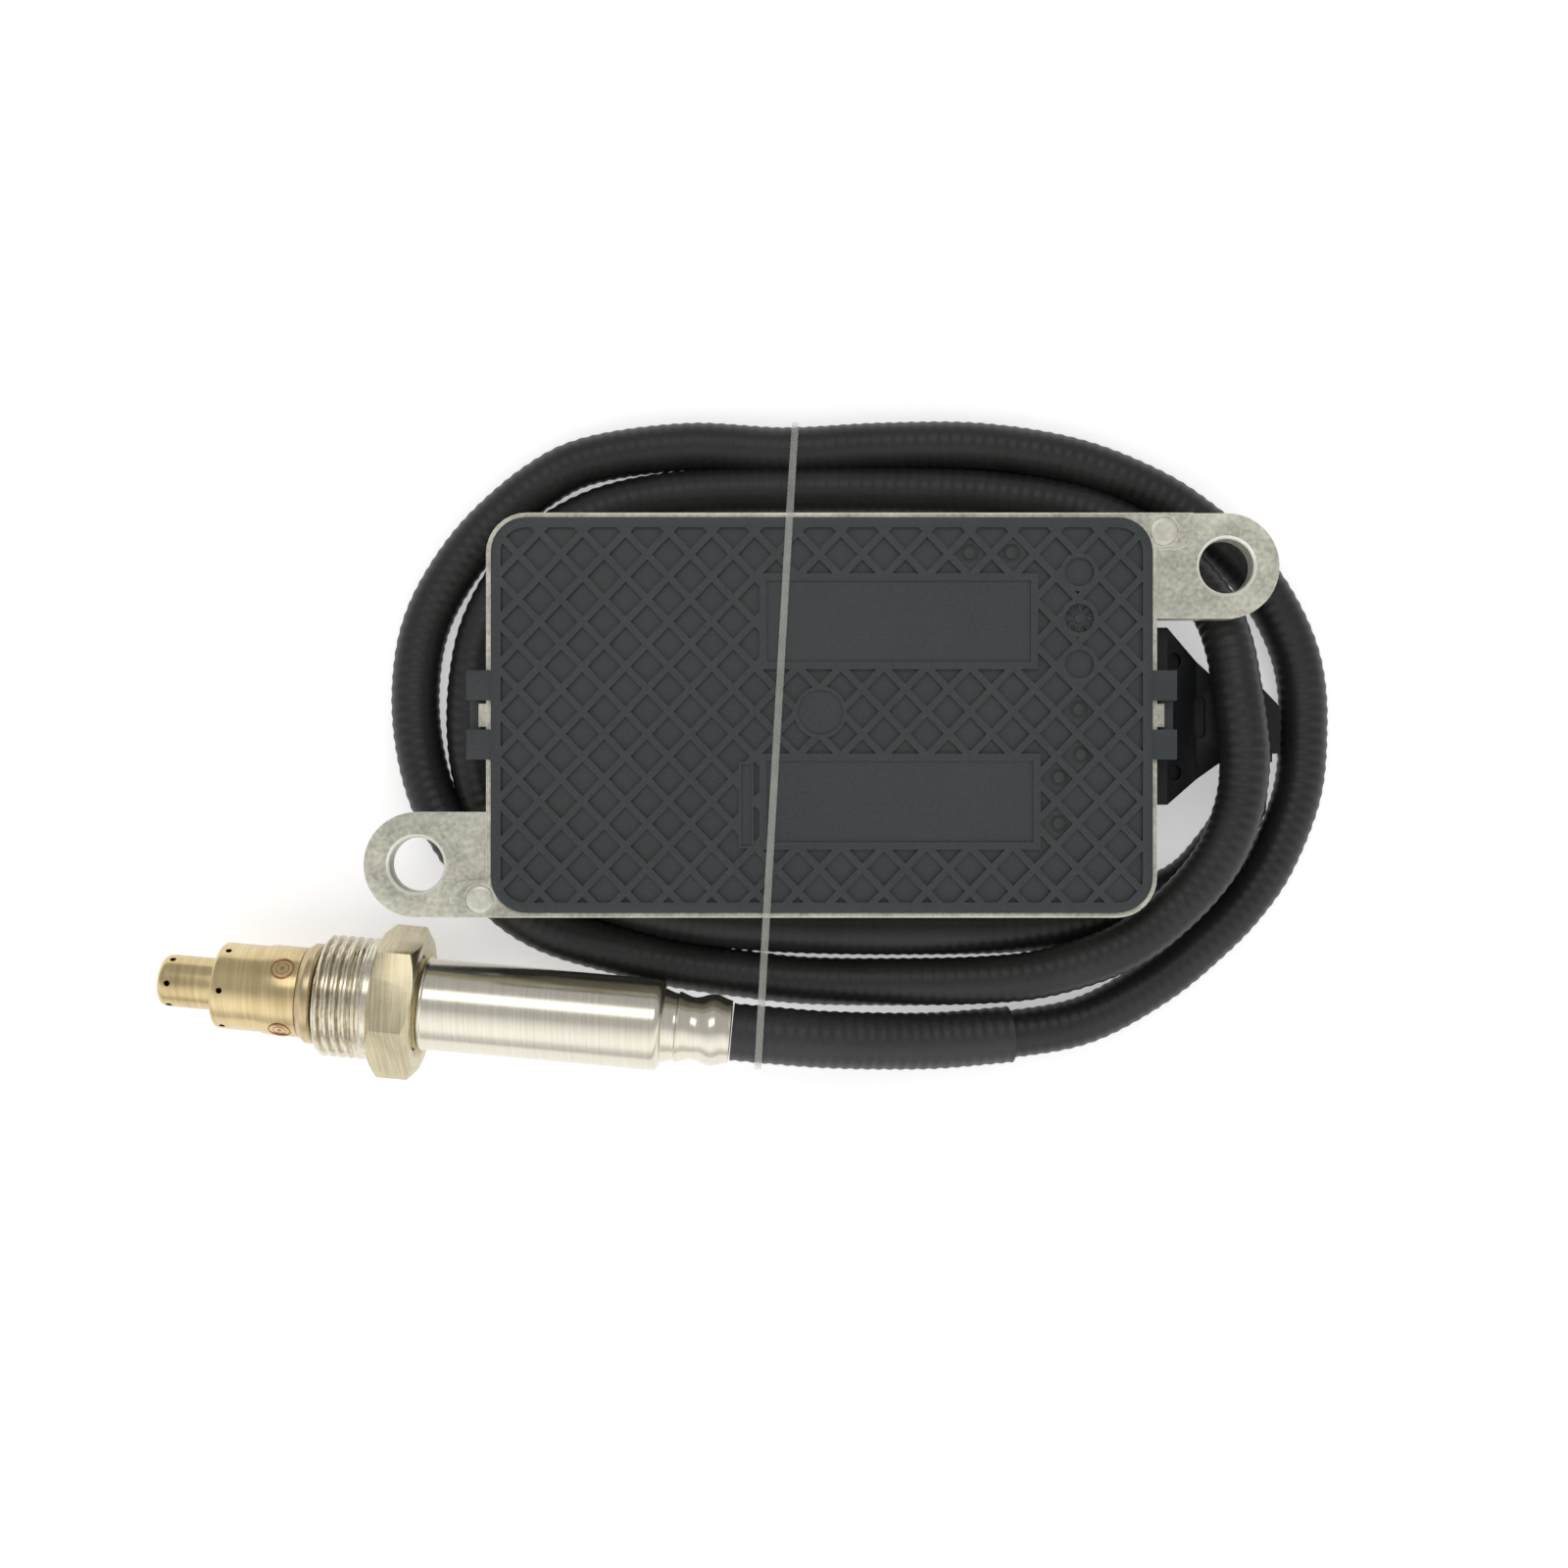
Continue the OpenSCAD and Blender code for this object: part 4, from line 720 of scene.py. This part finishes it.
pad_finish = finish("heat pad", (0.25, 0.31, 0.37), (0.34, 0.40, 0.46), 0.8, grain=1000, grain_bump=0.3)
screw_metal = finish("plated screw", (0.58, 0.58, 0.59), (0.72, 0.72, 0.73), 0.28, metallic=1.0,
                     grain=600, grain_bump=0.1)
gold = finish("contact metal", (0.62, 0.46, 0.20), (0.76, 0.60, 0.30), 0.25, metallic=1.0, grain=500,
              grain_bump=0.08)
ceramic = finish("white ceramic", (0.80, 0.80, 0.77), (0.88, 0.88, 0.85), 0.35, grain=1400,
                 grain_bump=0.15)
ceramic_cream = finish("cream ceramic", (0.74, 0.70, 0.60), (0.84, 0.81, 0.72), 0.5, grain=1100,
                       grain_bump=0.25)
powder = finish("pressed powder", (0.58, 0.58, 0.56), (0.72, 0.72, 0.70), 0.9, grain=3000,
                grain_bump=0.7)
brown_rubber = finish("brown rubber", (0.06, 0.025, 0.014), (0.10, 0.045, 0.026), 0.6, grain=1000,
                      grain_bump=0.2)
lead_finish = finish("lead sheath", (0.68, 0.67, 0.62), (0.80, 0.79, 0.75), 0.45, grain=1200,
                     grain_bump=0.15)
membrane = finish("membrane", (0.78, 0.78, 0.74), (0.88, 0.88, 0.85), 0.9, grain=4000, grain_bump=0.6)

# %% Give them to the solids
INSIDE = {"cover_gasket": rubber_black, "cable_grommet": rubber_black, "connector_seal": silicone,
          "circuit_board": laminate, "board_processor": chip, "board_drivers": chip,
          "board_capacitors": can, "board_inductor": ferrite, "heat_pad": pad_finish,
          "board_screws": screw_metal, "connector_blades": gold, "contact_springs": gold,
          "sensor_element": ceramic, "front_insulator": ceramic_cream, "rear_insulator": ceramic_cream,
          "contact_holder": ceramic_cream, "powder_seal": powder, "rear_grommet": brown_rubber,
          "probe_leads": lead_finish, "vent_membrane": membrane}
for node, material in INSIDE.items():
    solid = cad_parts[node]
    solid.data.materials.clear()
    solid.data.materials.append(material)
print("finished solids:", len(INSIDE))

# %% [markdown]
# ## Studio
# The photograph has a white ground and soft light from all round. The floor is pale
# and adds a little white for the camera and for reflections, so that it reads as white
# and still keeps the shadow. The world is brighter towards the front than overhead or at
# the back, which gives the polished metal its light and dark bands. One broad lamp
# stands behind the module.

# %% Floor
def light_path_factor(tree):
    path = tree.nodes.new("ShaderNodeLightPath")
    first = tree.nodes.new("ShaderNodeMath")
    second = tree.nodes.new("ShaderNodeMath")
    first.operation = second.operation = "MAXIMUM"
    tree.links.new(path.outputs["Is Camera Ray"], first.inputs[0])
    tree.links.new(path.outputs["Is Glossy Ray"], first.inputs[1])
    tree.links.new(first.outputs[0], second.inputs[0])
    tree.links.new(path.outputs["Is Transmission Ray"], second.inputs[1])
    return second.outputs[0]


FLOOR_GLOW, HALF = 0.42, 3
floor_material = bpy.data.materials.new("white floor")
floor_material.use_nodes = True
floor_tree = floor_material.node_tree
floor_shader = floor_tree.nodes["Principled BSDF"]
floor_shader.inputs["Base Color"].default_value = (0.9, 0.9, 0.9, 1)
floor_shader.inputs["Roughness"].default_value = 1.0
floor_shader.inputs["Specular IOR Level"].default_value = 0.0
floor_glow = floor_tree.nodes.new("ShaderNodeEmission")
floor_gain = floor_tree.nodes.new("ShaderNodeMath")
floor_gain.operation = "MULTIPLY"
floor_gain.inputs[1].default_value = FLOOR_GLOW
floor_tree.links.new(light_path_factor(floor_tree), floor_gain.inputs[0])
floor_tree.links.new(floor_gain.outputs[0], floor_glow.inputs["Strength"])
floor_sum = floor_tree.nodes.new("ShaderNodeAddShader")
floor_tree.links.new(floor_shader.outputs[0], floor_sum.inputs[0])
floor_tree.links.new(floor_glow.outputs[0], floor_sum.inputs[1])
floor_tree.links.new(floor_sum.outputs[0], floor_tree.nodes["Material Output"].inputs["Surface"])
floor_mesh = bpy.data.meshes.new("floor")
floor_mesh.from_pydata([(-HALF, -HALF, FLOOR_Z), (HALF, -HALF, FLOOR_Z), (HALF, HALF, FLOOR_Z),
                        (-HALF, HALF, FLOOR_Z)], [], [(0, 1, 2, 3)])
floor = add_object("floor", floor_mesh)
floor.data.materials.append(floor_material)

# %% World
world = bpy.data.worlds.new("studio")
bpy.context.scene.world = world
world.use_nodes = True
sky = world.node_tree
background = sky.nodes["Background"]
background.inputs["Color"].default_value = (1, 1, 1, 1)
direction = sky.nodes.new("ShaderNodeTexCoord")
split = sky.nodes.new("ShaderNodeSeparateXYZ")
sky.links.new(direction.outputs["Generated"], split.inputs[0])
tilt = sky.nodes.new("ShaderNodeMath")
tilt.operation = "ARCTAN2"
sky.links.new(split.outputs["Y"], tilt.inputs[0])
sky.links.new(split.outputs["Z"], tilt.inputs[1])
place = sky.nodes.new("ShaderNodeMapRange")
place.inputs["From Min"].default_value = -math.pi / 2
place.inputs["From Max"].default_value = math.pi / 2
sky.links.new(tilt.outputs[0], place.inputs["Value"])
# Degrees from overhead towards the back of the table, and the brightness there
BANDS = [(-90, 0.60), (-72, 0.85), (-60, 1.30), (-42, 1.30), (-26, 1.10), (-14, 0.85), (-3, 0.55),
         (8, 0.38), (17, 0.50), (25, 0.60), (35, 0.50), (48, 0.45), (65, 0.36), (90, 0.50)]
BRIGHTEST = 1.4
ramp = sky.nodes.new("ShaderNodeValToRGB")
for k, (angle, strength) in enumerate(BANDS):
    stops = ramp.color_ramp.elements
    stop = stops[k] if k < 2 else stops.new(0.5)
    stop.position = (angle + 90) / 180
    stop.color = (strength / BRIGHTEST,) * 3 + (1,)
sky.links.new(place.outputs["Result"], ramp.inputs["Fac"])
glow = sky.nodes.new("ShaderNodeMath")
glow.operation = "MULTIPLY"
glow.inputs[1].default_value = BRIGHTEST
sky.links.new(ramp.outputs["Color"], glow.inputs[0])
seen = sky.nodes.new("ShaderNodeLightPath")
choose = sky.nodes.new("ShaderNodeMix")
choose.data_type = "FLOAT"
sky.links.new(seen.outputs["Is Camera Ray"], choose.inputs["Factor"])
sky.links.new(glow.outputs[0], choose.inputs[2])
choose.inputs[3].default_value = 1.0
sky.links.new(choose.outputs[0], background.inputs["Strength"])

# %% Lamp
def soft_lamp(name, place, size, watts, target=(0, 0, FLOOR_Z)):
    data = bpy.data.lights.new(name, "AREA")
    data.shape = "RECTANGLE"
    data.size, data.size_y = size
    data.energy = watts
    lamp = bpy.data.objects.new(name, data)
    lamp.location = place
    lamp.rotation_euler = (Vector(target) - Vector(place)).to_track_quat("-Z", "Y").to_euler()
    bpy.context.scene.collection.objects.link(lamp)


soft_lamp("key", (-0.05, 0.34, 0.62), size=(0.50, 0.3), watts=0.67)
bpy.context.scene.view_settings.view_transform = "Standard"
